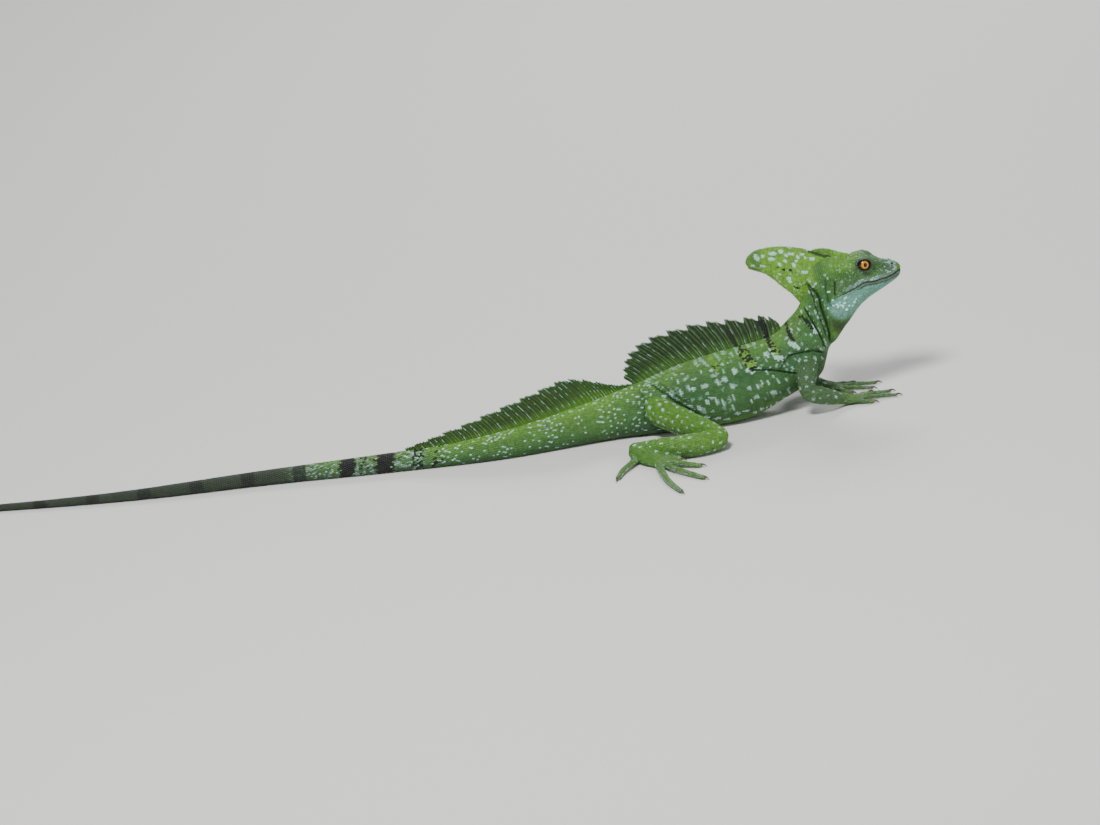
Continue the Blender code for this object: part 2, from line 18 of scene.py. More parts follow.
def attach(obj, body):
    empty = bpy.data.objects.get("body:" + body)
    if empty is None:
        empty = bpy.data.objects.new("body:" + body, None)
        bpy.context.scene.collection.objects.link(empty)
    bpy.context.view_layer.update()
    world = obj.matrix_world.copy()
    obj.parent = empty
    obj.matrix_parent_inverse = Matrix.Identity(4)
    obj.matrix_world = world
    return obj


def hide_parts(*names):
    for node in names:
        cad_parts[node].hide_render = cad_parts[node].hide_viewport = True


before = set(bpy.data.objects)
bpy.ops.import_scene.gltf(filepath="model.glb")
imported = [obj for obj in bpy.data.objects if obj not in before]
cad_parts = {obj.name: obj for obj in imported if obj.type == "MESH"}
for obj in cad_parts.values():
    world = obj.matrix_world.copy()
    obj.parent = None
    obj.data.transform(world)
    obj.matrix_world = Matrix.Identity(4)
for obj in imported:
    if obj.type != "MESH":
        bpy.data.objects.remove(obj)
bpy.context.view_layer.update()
MM = 0.001

# %% [markdown]
# ## The camera
# The animal was seen from its right side and a little from above, with a long lens. An orthographic camera
# would come close, but a long lens from seven metres keeps the slight perspective. The camera is rolled,
# because the animal lay on a slope: turning the camera keeps the floor level and the framing true.

# %% Place the camera
VIEW_DOWN = math.radians(20.0)
VIEW_ROLL = math.radians(8.5)
VIEW_DISTANCE = 7.0
FRAME_WIDTH = 0.77
aim = Vector((-0.1027, 0.0, 0.025))

outward = Vector((0.0, -math.cos(VIEW_DOWN), math.sin(VIEW_DOWN)))
level_up = Vector((0.0, math.sin(VIEW_DOWN), math.cos(VIEW_DOWN)))
level_right = Vector((1.0, 0.0, 0.0))
right = level_right * math.cos(VIEW_ROLL) - level_up * math.sin(VIEW_ROLL)
up = level_right * math.sin(VIEW_ROLL) + level_up * math.cos(VIEW_ROLL)
camera_data = bpy.data.cameras.new("camera")
camera_data.sensor_width = 36.0
camera_data.lens = 36.0 * VIEW_DISTANCE / FRAME_WIDTH
camera = bpy.data.objects.new("camera", camera_data)
camera.matrix_world = Matrix.Translation(aim + outward * VIEW_DISTANCE) @ Matrix(
    (right, up, outward)
).transposed().to_4x4()
bpy.context.scene.collection.objects.link(camera)
bpy.context.scene.camera = camera
print("lens", round(camera_data.lens, 1), "mm")

# %% [markdown]
# ## The floor and the lights
# A museum model is photographed on pale paper. One wide plane does for the floor. Three soft area lights
# give form: a key light from the front left, a weak fill and a light from behind for the edges of the fins.

# %% Floor, lights and world
def shader_material(name, colour, roughness):
    material = bpy.data.materials.new(name)
    material.use_nodes = True
    shader = material.node_tree.nodes["Principled BSDF"]
    shader.inputs["Base Color"].default_value = (*colour, 1.0)
    shader.inputs["Roughness"].default_value = roughness
    return material


bpy.ops.mesh.primitive_plane_add(size=12.0, location=(0, 0, -0.0002))
floor = bpy.context.object
floor.name = "paper_floor"
floor.data.materials.append(shader_material("pale_paper", (0.78, 0.77, 0.74), 0.9))


def add_light(name, place, target, size, power):
    data = bpy.data.lights.new(name, "AREA")
    data.shape = "DISK"
    data.size = size
    data.energy = power
    lamp = bpy.data.objects.new(name, data)
    lamp.location = place
    lamp.rotation_euler = (Vector(target) - Vector(place)).to_track_quat("-Z", "Y").to_euler()
    bpy.context.scene.collection.objects.link(lamp)


add_light("key_light", (-0.35, -0.95, 1.75), (-0.05, 0, 0.05), 0.5, 38)
add_light("fill_light", (1.3, -1.0, 0.6), (0, 0, 0.05), 0.9, 5)
add_light("rim_light", (0.2, 1.4, 1.2), (-0.05, 0, 0.05), 0.7, 16)
world = bpy.data.worlds.new("studio")
world.use_nodes = True
world.node_tree.nodes["Background"].inputs["Color"].default_value = (0.9, 0.93, 1.0, 1.0)
world.node_tree.nodes["Background"].inputs["Strength"].default_value = 0.3
bpy.context.scene.world = world
print("floor and lights placed")

# %% [markdown]
# ## The animal's own measures
# The body is a row of ribs: for each, the place of its back and of its belly, its half width, and how much
# it narrows upwards. A smooth curve through the ribs gives the body anywhere. The same few numbers carry
# the skin, the scales and the markings, so all of them agree. Sizes here are in millimetres.

# %% Ribs of the body and its bend in plan
HEAD_PLANE = 12.0  # y of the plane through the middle of the head
LOWEST = 0.05  # the least height of body and limbs over the floor
SWAY = np.array([
    (-660, 104), (-610, 76), (-560, 54), (-490, 35), (-400, 18), (-300, 9), (-215, -2), (-140, -8),
    (-60, 0), (-20, 0), (20, 1), (62, 5), (92, 10), (112, HEAD_PLANE), (180, HEAD_PLANE),
], float)
HEAD_RIBS = [
    (154.4, 90.0, 154.0, 86.4, 1.8, 0.0),
    (153.2, 92.4, 152.4, 83.2, 4.2, 0.05),
    (149.1, 95.0, 147.6, 80.2, 6.0, 0.15),
    (144.4, 96.6, 141.0, 76.8, 7.4, 0.22),
    (139.5, 98.0, 134.5, 73.8, 8.9, 0.28),
    (135.0, 99.8, 128.6, 70.8, 10.4, 0.32),
    (129.5, 102.4, 123.0, 66.8, 11.8, 0.34),
    (123.7, 104.2, 118.3, 62.0, 12.9, 0.34),
    (117.5, 104.4, 114.4, 57.4, 13.7, 0.36),
    (110.8, 105.0, 110.2, 53.0, 13.4, 0.38),
]
NECK_RIBS = [
    (104.0, 104.8, 106.4, 48.4, 12.2, 0.38),
    (97.4, 102.6, 103.2, 44.4, 11.0, 0.34),
    (91.0, 97.2, 100.4, 42.4, 10.0, 0.26),
    (86.8, 88.2, 98.0, 40.4, 9.6, 0.16),
    (83.4, 77.8, 96.4, 38.0, 10.0, 0.12),
    (78.4, 70.0, 95.2, 35.2, 11.2, 0.16),
    (71.9, 64.5, 93.4, 30.4, 12.8, 0.2),
]
TRUNK_RIBS = [
    (66.6, 60.4, 89.6, 23.0, 14.4, 0.24),
    (60.8, 57.0, 81.5, 16.8, 15.8, 0.26),
    (53.4, 54.8, 70.6, 13.6, 16.8, 0.26),
    (42.5, 53.2, 57.7, 8.4, 17.6, 0.26),
    (31.7, 52.2, 44.0, 2.8, 18.5, 0.26),
    (17.3, 50.9, 28.0, -0.9, 19.0, 0.26),
    (2.8, 48.6, 10.0, -1.3, 18.6, 0.26),
    (-11.7, 45.7, -7.5, -1.3, 17.2, 0.26),
    (-26.5, 41.4, -25.2, -1.1, 15.4, 0.24),
    (-38.5, 37.6, -39.4, -0.9, 13.8, 0.22),
]
TAIL_STATIONS = [
    (-52, 34.0, 12.6), (-67, 30.6, 11.4), (-96, 25.4, 9.6), (-125, 21.2, 8.0), (-154, 17.6, 6.9),
    (-183, 14.8, 6.2), (-211, 13.3, 5.8), (-246, 12.0, 5.5), (-283, 10.6, 5.0), (-320, 9.5, 4.6),
    (-354, 8.5, 4.2), (-390, 7.3, 3.6), (-424, 6.2, 3.1), (-460, 5.3, 2.6), (-494, 4.6, 2.3),
    (-530, 3.8, 1.9), (-565, 3.0, 1.5), (-600, 2.2, 1.1), (-622, 1.5, 0.75),
]
TAIL_RIBS = [(x, tall, x, -0.5, wide, 0.1) for x, tall, wide in TAIL_STATIONS]
BODY_RIBS = np.array(HEAD_RIBS + NECK_RIBS + TRUNK_RIBS + TAIL_RIBS, float)
NECK_RIB = len(HEAD_RIBS) + 0.4
TRUNK_RIB = len(HEAD_RIBS) + len(NECK_RIBS)
LAST_RIB = len(BODY_RIBS) - 1
print(len(BODY_RIBS), "ribs from snout to tail tip")

# %% Smooth curves through stations
def through(stations, t):
    """Catmull-Rom through the stations at every t, counted in stations."""
    stations = np.asarray(stations, float)
    last = len(stations) - 1
    t = np.clip(np.atleast_1d(np.asarray(t, float)), 0, last)
    i = np.minimum(t.astype(int), last - 1)
    f = (t - i)[:, None]
    a, b = stations[np.maximum(i - 1, 0)], stations[i]
    c, d = stations[i + 1], stations[np.minimum(i + 2, last)]
    return 0.5 * (2 * b + (c - a) * f + (2 * a - 5 * b + 4 * c - d) * f**2 + (3 * b - a - 3 * c + d) * f**3)


def full_turn(count):
    """Angles of a full turn in equal steps."""
    return np.linspace(0, 2 * np.pi, count, endpoint=False)


sway_slope = np.empty(len(SWAY))
for k in range(len(SWAY)):
    before, after = SWAY[max(k - 1, 0)], SWAY[min(k + 1, len(SWAY) - 1)]
    sway_slope[k] = (after[1] - before[1]) / (after[0] - before[0])


def sway_y(x):
    """y of the body's middle line at x."""
    x = np.clip(x, SWAY[0, 0], SWAY[-1, 0])
    k = np.clip(np.searchsorted(SWAY[:, 0], x, side="right") - 1, 0, len(SWAY) - 2)
    span = SWAY[k + 1, 0] - SWAY[k, 0]
    f = (x - SWAY[k, 0]) / span
    return (
        SWAY[k, 1] * (1 + 2 * f) * (1 - f) ** 2
        + SWAY[k + 1, 1] * f * f * (3 - 2 * f)
        + span * (sway_slope[k] * f * (1 - f) ** 2 - sway_slope[k + 1] * f * f * (1 - f))
    )


def middle_y(x):
    """sway_y of a single number."""
    return float(sway_y(np.array([x]))[0])


def bent(x, lateral, z):
    """Places given along a straight body, moved to where the bend in plan puts them."""
    heading = np.arctan2(sway_y(x + 1) - sway_y(x - 1), 2)
    return np.stack([x - lateral * np.sin(heading), sway_y(x) + lateral * np.cos(heading), z], axis=-1)


def body_surface(t, angle):
    """Places on the body at rib t, with angle 0 on the back and a quarter turn on the left side."""
    back_x, back_z, belly_x, belly_z, half, narrow = through(BODY_RIBS, t).T
    rise, side = np.cos(angle), np.sin(angle)
    lateral = -half * np.sign(side) * np.abs(side) ** 0.9 * (1 - narrow * rise)
    x = (back_x + belly_x) / 2 + (back_x - belly_x) / 2 * rise
    z = (back_z + belly_z) / 2 + (back_z - belly_z) / 2 * rise
    return bent(x, lateral, np.maximum(z, LOWEST))


print("the snout is at", np.round(body_surface(0, 0)[0], 1), "mm")

# %% [markdown]
# ## Sides seen flat
# Folds and marks were measured in a side view from a little above. `side_view` turns any place on the
# animal into that view's two coordinates, along and up. A place on the left side is mirrored first, so each
# fold and mark is described once and falls on both sides.

# %% The side view, distances in it, and small sums
def side_view(places):
    middle = sway_y(places[:, 0])
    lateral = -np.abs(places[:, 1] - middle)
    upward = places[:, 2] * math.cos(VIEW_DOWN) + (middle + lateral) * math.sin(VIEW_DOWN)
    return np.stack([places[:, 0], upward], axis=1)


def along_line(flat, line):
    """Distance of flat places to a line, how far along it they are, and on which side of it they lie."""
    line = np.asarray(line, float)
    lengths = np.linalg.norm(np.diff(line, axis=0), axis=1)
    starts = np.concatenate([[0], np.cumsum(lengths)]) / lengths.sum()
    best = np.full(len(flat), 1e9)
    share = np.zeros(len(flat))
    hand = np.ones(len(flat))
    for k in range(len(line) - 1):
        a, span = line[k], line[k + 1] - line[k]
        f = np.clip((flat - a) @ span / (span @ span), 0, 1)
        off = flat - a - f[:, None] * span
        gap = np.linalg.norm(off, axis=1)
        near = gap < best
        best[near] = gap[near]
        share[near] = (starts[k] + f * (starts[k + 1] - starts[k]))[near]
        hand[near] = np.sign(span[0] * off[:, 1] - span[1] * off[:, 0])[near]
    return best, share, hand


def smooth_step(low, high, value):
    f = np.clip((value - low) / (high - low), 0, 1)
    return f * f * (3 - 2 * f)


def bell(gap, width):
    """1 at no gap, falling smoothly to almost nothing at twice the width."""
    return np.exp(-((gap / width) ** 2))


def travelled(points):
    """How far along a row of points each one lies."""
    return np.concatenate([[0], np.cumsum(np.linalg.norm(np.diff(points, axis=0), axis=1))])


def unit(rows):
    """Rows of vectors brought to a length of one."""
    return rows / np.maximum(np.linalg.norm(rows, axis=1), 1e-9)[:, None]


def columns(*parts):
    """Arrays side by side, where a single number fills its column."""
    n = max(len(part) for part in parts if np.ndim(part))
    return np.column_stack([part if np.ndim(part) else np.full(n, part) for part in parts])


# %% [markdown]
# ## Meshes from rows of points
# Skin, limbs and fins are all grids of points, so one helper closes such a grid into a mesh. A curve with a
# bevel would also make a round limb, but a limb's section isn't round and changes along it.

# %% Mesh helpers
def mesh_object(name, places, faces):
    mesh = bpy.data.meshes.new(name)
    mesh.from_pydata((np.asarray(places) * MM).tolist(), [], [list(map(int, f)) for f in faces])
    mesh.shade_smooth()
    obj = bpy.data.objects.new(name, mesh)
    bpy.context.scene.collection.objects.link(obj)
    return obj


def tube_faces(rows, sides):
    """Quads between the rows of a closed tube, and one face over each end."""
    i, j = np.meshgrid(np.arange(rows - 1), np.arange(sides), indexing="ij")
    a = i * sides + j
    b = i * sides + (j + 1) % sides
    quads = np.stack([a, b, b + sides, a + sides], axis=-1).reshape(-1, 4).tolist()
    return quads + [list(range(sides))[::-1], list(range((rows - 1) * sides, rows * sides))]


def triangles_in(mesh):
    return sum(len(p.vertices) - 2 for p in mesh.polygons)


def face_outwards(obj):
    bm = bmesh.new()
    bm.from_mesh(obj.data)
    bmesh.ops.recalc_face_normals(bm, faces=bm.faces)
    bm.to_mesh(obj.data)
    bm.free()


def tube_object(name, grid):
    rows, sides, _ = grid.shape
    obj = mesh_object(name, grid.reshape(-1, 3), tube_faces(rows, sides))
    face_outwards(obj)
    return obj


def limb_surface(path, rows, sides, up_axis=(0, 0, 1)):
    """A limb through stations of x, y, z, half width and half height, with rounded ends."""
    path = np.asarray(path, float)
    t = np.linspace(0, len(path) - 1, rows)
    stations = through(path, t)
    centre, wide, tall = stations[:, :3], stations[:, 3], stations[:, 4]
    along = np.gradient(centre, axis=0)
    along /= np.linalg.norm(along, axis=1)[:, None]
    side = np.cross(along, np.asarray(up_axis, float))
    side /= np.linalg.norm(side, axis=1)[:, None]
    top = np.cross(side, along)
    caps = np.radians([82, 62, 42, 22])
    ahead = np.concatenate([-np.sin(caps), np.zeros(rows), np.sin(caps[::-1])])
    share = np.concatenate([np.cos(caps), np.ones(rows), np.cos(caps[::-1])])
    pick = np.concatenate([np.zeros(len(caps), int), np.arange(rows), np.full(len(caps), rows - 1)])
    centre = centre[pick] + along[pick] * (ahead * tall[pick])[:, None]
    angle = full_turn(sides)
    across = (wide[pick] * share)[:, None, None] * np.cos(angle)[None, :, None] * side[pick][:, None, :]
    rising = (tall[pick] * share)[:, None, None] * np.sin(angle)[None, :, None] * top[pick][:, None, :]
    grid = centre[:, None, :] + across + rising
    grid[..., 2] = np.maximum(grid[..., 2], LOWEST)
    return grid


def ellipsoid(name, centre, radii):
    rise, angle = np.linspace(0.04, np.pi - 0.04, 18), full_turn(28)
    ball = np.stack([
        np.sin(rise)[:, None] * np.cos(angle), np.sin(rise)[:, None] * np.sin(angle),
        np.cos(rise)[:, None] * np.ones(len(angle)),
    ], axis=-1)
    return tube_object(name, np.asarray(centre) + ball * np.asarray(radii))


# %% [markdown]
# ## Limbs, toes and fingers
# A basilisk squats with its thighs out to the sides and its shanks folded back beside them. Its toes are
# very long, the fourth longest of all, and end in curved claws. Each limb is a row of joints, given as x,
# distance outward from the middle of the body, z, half width and half height.

# %% Joints of the limbs
THIGH = [
    (-36, 2, 20, 7, 9), (-31, 10, 20, 8.4, 10.4), (-20, 23, 17, 8.6, 10.2), (-6, 38, 13.5, 7.8, 9.0),
    (5, 49, 11.2, 6.8, 7.6), (11.5, 55, 9.4, 5.6, 6.4),
]
SHANK = [
    (10.5, 59.5, 7.6, 5.2, 6.4), (0, 62.5, 8.4, 6.6, 7.6), (-14, 62, 8.4, 7.2, 7.8), (-28, 57, 7.6, 6.2, 6.8),
    (-41, 50, 6.2, 4.8, 5.2), (-47.5, 47, 5.4, 4.4, 4.8),
]
FOOT = [
    (-48.5, 50.5, 4.6, 4.4, 4.4), (-45, 56, 4.2, 5.6, 4.2), (-40, 63, 3.5, 6.4, 3.6),
    (-34.5, 70, 2.7, 5.8, 2.8), (-32, 74, 2.2, 4.6, 2.2),
]
TOES = {
    "first": [(-36, 63), (-27, 67), (-18, 69)],
    "second": [(-34, 67), (-24, 76), (-13, 83), (-5, 86)],
    "third": [(-33, 70), (-25, 86), (-14, 100), (-4, 111)],
    "fourth": [(-34, 72), (-32, 92), (-28, 112), (-21, 131)],
    "fifth": [(-46, 57), (-52, 67), (-59, 77), (-63, 87)],
}
UPPER_ARM = [
    (79, 4, 35, 7, 7.5), (79.5, 12, 34, 7.4, 8.0), (79, 19, 30, 6.8, 7.0), (77.5, 23.5, 24.8, 6.0, 6.0),
    (77, 25.5, 20.6, 5.2, 5.4),
]
FOREARM = [
    (78.5, 26, 17.0, 5.0, 5.6), (84, 24.5, 14.4, 6.0, 6.2), (91, 21.5, 10.4, 5.6, 5.6),
    (98, 18.5, 6.8, 4.4, 4.4), (103, 16.8, 5.0, 3.8, 3.6),
]
HAND = [
    (102.5, 17, 4.4, 4.0, 3.4), (106, 16, 3.7, 5.2, 3.4), (110.5, 14.8, 2.8, 5.2, 2.6),
    (114, 14, 2.2, 4.0, 2.1),
]
FINGERS = {
    "first": [(106, 13), (108, 8.5), (109, 5)],
    "second": [(108, 12), (115, 7), (121, 2.5)],
    "third": [(110, 13), (120, 10), (128, 7.5), (135, 6)],
    "fourth": [(110, 15), (120, 15.5), (130, 15), (139, 15.5)],
    "fifth": [(107, 17.5), (115, 21), (122, 22.5)],
}
LIMB_SHIFTS = {-1: ((0.0, 1.0), (0.0, 1.0)), 1: ((-4.0, 0.94), (-12.0, 1.0))}
TOE_RADIUS, FINGER_RADIUS, CLAW_LENGTH = 1.8, 1.4, 4.6


def placed(path, side, shift, wide):
    return [(x + shift, middle_y(x) + side * out * wide, z, w, h) for x, out, z, w, h in path]


def digit_path(plan, root_height, radius, side, shift, wide):
    """The joints of a toe or finger. It swells a little at each joint and rests on the floor."""
    path = []
    for k, (x, out) in enumerate(plan):
        share = k / (len(plan) - 1)
        thick = radius * (1.25 - 0.4 * share)
        z = root_height * (1 - share) ** 2 + thick * 0.85 + 0.9 * math.sin(math.pi * share)
        path.append((x + shift, middle_y(x) + side * out * wide, z, thick, thick * 0.95))
    return path


def claw_path(path):
    tip, before = np.array(path[-1][:3]), np.array(path[-2][:3])
    ahead = (tip - before) * (1, 1, 0)
    ahead /= np.linalg.norm(ahead)
    start = tip + (0, 0, 0.3)
    stations = []
    for share, high, size in ((-0.25, 0.0, 0.85), (0.0, 0.4, 0.9), (0.25, 0.55, 0.8), (0.5, 0.4, 0.66),
                              (0.75, -0.1, 0.46), (1.0, -1.0, 0.2)):
        place = start + ahead * CLAW_LENGTH * share + (0, 0, high)
        stations.append((*place, size * 0.8, size))
    return stations


def limb_up(name):
    """The axis that a limb's height follows: x for the upper arms, which run down, and z for the rest."""
    return (1, 0, 0) if name.endswith("upper_arm") else (0, 0, 1)


limbs, digits, claws = {}, {}, {}
for side, tag in ((-1, "right"), (1, "left")):
    hind, fore = LIMB_SHIFTS[side]
    limbs[tag + "_thigh"] = placed(THIGH, side, *hind)
    limbs[tag + "_shank"] = placed(SHANK, side, *hind)
    limbs[tag + "_hind_foot"] = placed(FOOT, side, *hind)
    limbs[tag + "_upper_arm"] = placed(UPPER_ARM, side, *fore)
    limbs[tag + "_forearm"] = placed(FOREARM, side, *fore)
    limbs[tag + "_fore_foot"] = placed(HAND, side, *fore)
    for toe, plan in TOES.items():
        digits[f"{tag}_{toe}_toe"] = digit_path(plan, 1.6, TOE_RADIUS, side, *hind)
    for finger, plan in FINGERS.items():
        digits[f"{tag}_{finger}_finger"] = digit_path(plan, 1.2, FINGER_RADIUS, side, *fore)
for name, path in digits.items():
    claws[name] = claw_path(path)
print(len(limbs), "limb parts,", len(digits), "digits")

# %% [markdown]
# ## The skin
# Under its scales the animal is one skin without seams. The body and limbs are made as separate closed
# forms that reach into each other, with extra forms for cheeks, brows, shoulders and hips. A voxel remesh
# melts them into one surface, which a Boolean union would leave with hard edges. Smoothing that gives back
# the volume it takes (Taubin's) then removes the voxel steps, and keeps the thin toes.

# %% Join the forms and remesh them
turn = full_turn(96)
body_grid = np.stack([body_surface(np.full(len(turn), t), turn) for t in np.linspace(0, LAST_RIB, 560)])
forms = [tube_object("body_form", body_grid)]
for name, path in limbs.items():
    forms.append(tube_object(name + "_form", limb_surface(path, 40, 32, limb_up(name))))
for name, path in digits.items():
    forms.append(tube_object(name + "_form", limb_surface(path, 36, 16)))
EYE_CENTRE = np.array([128.8, 8.0, 98.0])
EYE_RADIUS = 4.7
for side in (-1, 1):
    ex, out, ez = EYE_CENTRE
    ey = HEAD_PLANE + side * out
    forms.append(ellipsoid("orbit_form", (ex, ey - side * 1.6, ez - 0.4), (7.8, 5.0, 5.6)))
    forms.append(ellipsoid("brow_form", (ex - 2.4, ey - side * 2.2, ez + 2.2), (8.2, 4.2, 3.2)))
    ridge = [(ex + 5.5, ey - side * 1.8, ez + 1.0, 1.6, 1.5), (ex + 12, ey - side * 3.6, ez - 2.4, 1.3, 1.2),
             (147.5, HEAD_PLANE + side * 4.8, 93.6, 1.1, 1.1)]
    forms.append(tube_object("canthus_form", limb_surface(ridge, 24, 16)))
    forms.append(ellipsoid("cheek_form", (114, HEAD_PLANE + side * 7.4, 82), (7.5, 6.5, 9)))
    forms.append(ellipsoid("temple_form", (116, HEAD_PLANE + side * 5.4, 94.5), (8.5, 6.4, 6.6)))
    forms.append(ellipsoid("shoulder_form", (72, 8 + side * 12.5, 36), (9, 5.2, 8)))
print(len(forms), "forms,", sum(len(f.data.polygons) for f in forms), "faces")

# %% Melt the forms into one skin
VOXEL = 1.085  # small enough for the toes, and large enough for the limit on one piece's triangles
bm = bmesh.new()
for form in forms:
    bm.from_mesh(form.data)
    bpy.data.objects.remove(form, do_unlink=True)
joined = bpy.data.meshes.new("joined")
bm.to_mesh(joined)
bm.free()
skin = bpy.data.objects.new("skin", joined)
bpy.context.scene.collection.objects.link(skin)
melt = skin.modifiers.new("melt", "REMESH")
melt.mode = "VOXEL"
melt.voxel_size = VOXEL * MM
melt.use_smooth_shade = True
graph = bpy.context.evaluated_depsgraph_get()
melted = bpy.data.meshes.new_from_object(skin.evaluated_get(graph))
skin.modifiers.remove(melt)
skin.data = melted


def places_of(mesh):
    flat = np.empty(len(mesh.vertices) * 3)
    mesh.vertices.foreach_get("co", flat)
    return flat.reshape(-1, 3) / MM


def normals_of(mesh):
    flat = np.empty(len(mesh.vertices) * 3)
    mesh.vertices.foreach_get("normal", flat)
    return flat.reshape(-1, 3)


def edges_of(mesh):
    flat = np.empty(len(mesh.edges) * 2, np.int32)
    mesh.edges.foreach_get("vertices", flat)
    return flat.reshape(-1, 2)


def set_places(mesh, places):
    mesh.vertices.foreach_set("co", (places * MM).ravel())
    mesh.update()


def average_of_neighbours(places, edges):
    count = np.bincount(edges.ravel(), minlength=len(places))
    total = np.stack([
        np.bincount(edges[:, 0], places[edges[:, 1], k], len(places))
        + np.bincount(edges[:, 1], places[edges[:, 0], k], len(places))
        for k in range(3)
    ], axis=1)
    return total / np.maximum(count, 1)[:, None]


SHRINK, SWELL = 0.55, -0.57


def relax(mesh, rounds, weight=None):
    """Smooths a mesh, and gives back the volume that each step of smoothing takes."""
    places, edges = places_of(mesh), edges_of(mesh)
    weight = 1.0 if weight is None else weight[:, None]
    for _ in range(rounds):
        for step in (SHRINK, SWELL):
            places = places + step * weight * (average_of_neighbours(places, edges) - places)
    set_places(mesh, places)


relax(skin.data, 12)
print("skin:", len(skin.data.polygons), "faces after melting")

# %% [markdown]
# The head carries the finest forms, so its faces are divided once more, and folds and hollows are pressed
# into it by moving its points along their normals. Sculpting by hand would do the same, but a rule in code
# can be changed and run again.

# %% Divide the head's faces
bm = bmesh.new()
bm.from_mesh(skin.data)
fine = [e for e in bm.edges
        if min(v.co.x for v in e.verts) > 100 * MM and min(v.co.z for v in e.verts) > 50 * MM]
bmesh.ops.subdivide_edges(bm, edges=fine, cuts=1, use_grid_fill=True)
bmesh.ops.triangulate(bm, faces=[f for f in bm.faces if len(f.verts) > 4])
bm.to_mesh(skin.data)
bm.free()
head_weight = smooth_step(99, 103, places_of(skin.data)[:, 0])
relax(skin.data, 3, weight=head_weight)
print("skin:", triangles_in(skin.data), "triangles with the finer head")

# %% Folds, lips, nostrils and ears
MOUTH = [
    (153.4, 86.4), (152.2, 85.7), (148.5, 83.6), (144.6, 82.3), (139.7, 81.6), (136.6, 80.9), (133.5, 80.8),
    (128.4, 80.8), (126.0, 80.2), (123.7, 78.9), (119.5, 77.2), (113.9, 75.2), (108.4, 73.2),
]
# a fold: its line, how deep and how wide its groove is, and how high the swelling on its upper or front side
FOLDS = [
    ([(83.1, 91.6), (87.9, 86.0), (93.2, 78.8), (95.2, 73.5), (95.6, 66.4), (97.3, 59.1), (98.5, 48.3),
      (98.2, 41.2)], 1.9, 1.15, 1.3),
    ([(83.5, 71.0), (86.0, 64.3), (89.7, 55.3), (93.2, 45.5), (94.9, 38.2)], 1.3, 0.75, 0.8),
    ([(87.9, 86.0), (90.8, 77.0), (92.1, 66.9), (94.7, 55.9), (96.6, 45.0)], 1.0, 0.6, 0.5),
    ([(66.9, 37.6), (71.5, 38.6), (76.6, 38.9), (85.1, 39.2), (93.9, 36.6)], 1.1, 0.8, 0.8),
    ([(37.9, 31.1), (43.7, 31.7), (54.0, 30.1), (64.2, 27.2), (74.4, 24.3)], 1.5, 0.9, 0.9),
    ([(60.5, 28.6), (63.5, 32.8), (67.5, 37.0), (72, 39.4)], 0.7, 0.9, 0.4),
    ([(-31.5, 34.0), (-24.0, 27.0), (-14.8, 18.2), (-6.2, 11.6), (3.0, 5.4)], 0.9, 0.8, 0.6),
    ([(-24.0, 32.5), (-14.5, 22.6), (-5.5, 15.0)], 0.5, 0.7, 0.4),
    ([(-38.5, 31.0), (-36.6, 24.0), (-37.0, 15.0), (-38.0, 7.0)], 0.6, 0.8, 0.4),
    ([(107.6, 84.6), (106.7, 80.2), (106.1, 74.4)], 1.0, 0.8, 0.7),
    ([(101.5, 88.5), (100.2, 80), (100.8, 72), (103.4, 66)], 0.5, 1.0, 0.3),
    ([(126, 91.6), (121.5, 88.0), (120.0, 83.2)], 0.35, 0.9, 0.25),
    ([(145.2, 92.0), (140.5, 89.4), (136.6, 88.4)], 0.35, 0.7, 0.2),
]
NOSTRIL = (148.9, 91.2)
EARDRUM = (104.9, 83.0)

places, normals = places_of(skin.data), normals_of(skin.data)
flat = side_view(places)
lateral = np.sign(places[:, 1] - sway_y(places[:, 0])) * normals[:, 1]
facing = np.clip(lateral * 2.2, 0, 1)
is_head = (places[:, 0] > 99) & (places[:, 2] > 48)
push = np.zeros(len(places))
for line, depth, width, swell in FOLDS:
    gap, share, hand = along_line(flat, line)
    fade = smooth_step(0, 0.14, share) * smooth_step(0, 0.14, 1 - share)
    groove = -depth * bell(gap, width)
    swelling = swell * bell(gap - 2.0 * width, 1.3 * width) * np.where(hand > 0, 1.0, 0.3)
    push += facing * fade * (groove + swelling)
gap, share, hand = along_line(flat, MOUTH)
mouth_fade = facing * smooth_step(0, 0.16, 1 - share) * is_head
push += mouth_fade * (-0.85 * bell(gap, 0.42) + 0.35 * bell(gap - 1.3, 0.7))
gap = np.linalg.norm((flat - NOSTRIL) * (0.9, 1.15), axis=1)
push += facing * is_head * (-1.3 * bell(gap, 0.62) + 0.42 * bell(gap - 1.35, 0.65))
gap = np.linalg.norm((flat - EARDRUM) / (2.2, 3.9), axis=1)
push += facing * is_head * (-0.9 * (1 - smooth_step(0.6, 1.1, gap)) + 0.3 * bell(gap - 1.3, 0.2))
places += normals * push[:, None]
print("deepest fold", round(float(-push.min()), 2), "mm")

# %% [markdown]
# ## Eye openings
# The eyeball sits in a hollow, and the lids close round it. The skin inside the lids' edge is drawn back
# behind the eyeball, so that the ball itself is seen. The lids are rings of their own, laid on the ball.

# %% Draw the skin back behind the eyes
def tree_of(mesh):
    """A lookup of a mesh's surface, in millimetres."""
    mesh.calc_loop_triangles()
    flat_index = np.empty(len(mesh.loop_triangles) * 3, np.int32)
    mesh.loop_triangles.foreach_get("vertices", flat_index)
    return BVHTree.FromPolygons(places_of(mesh).tolist(), flat_index.reshape(-1, 3).tolist())


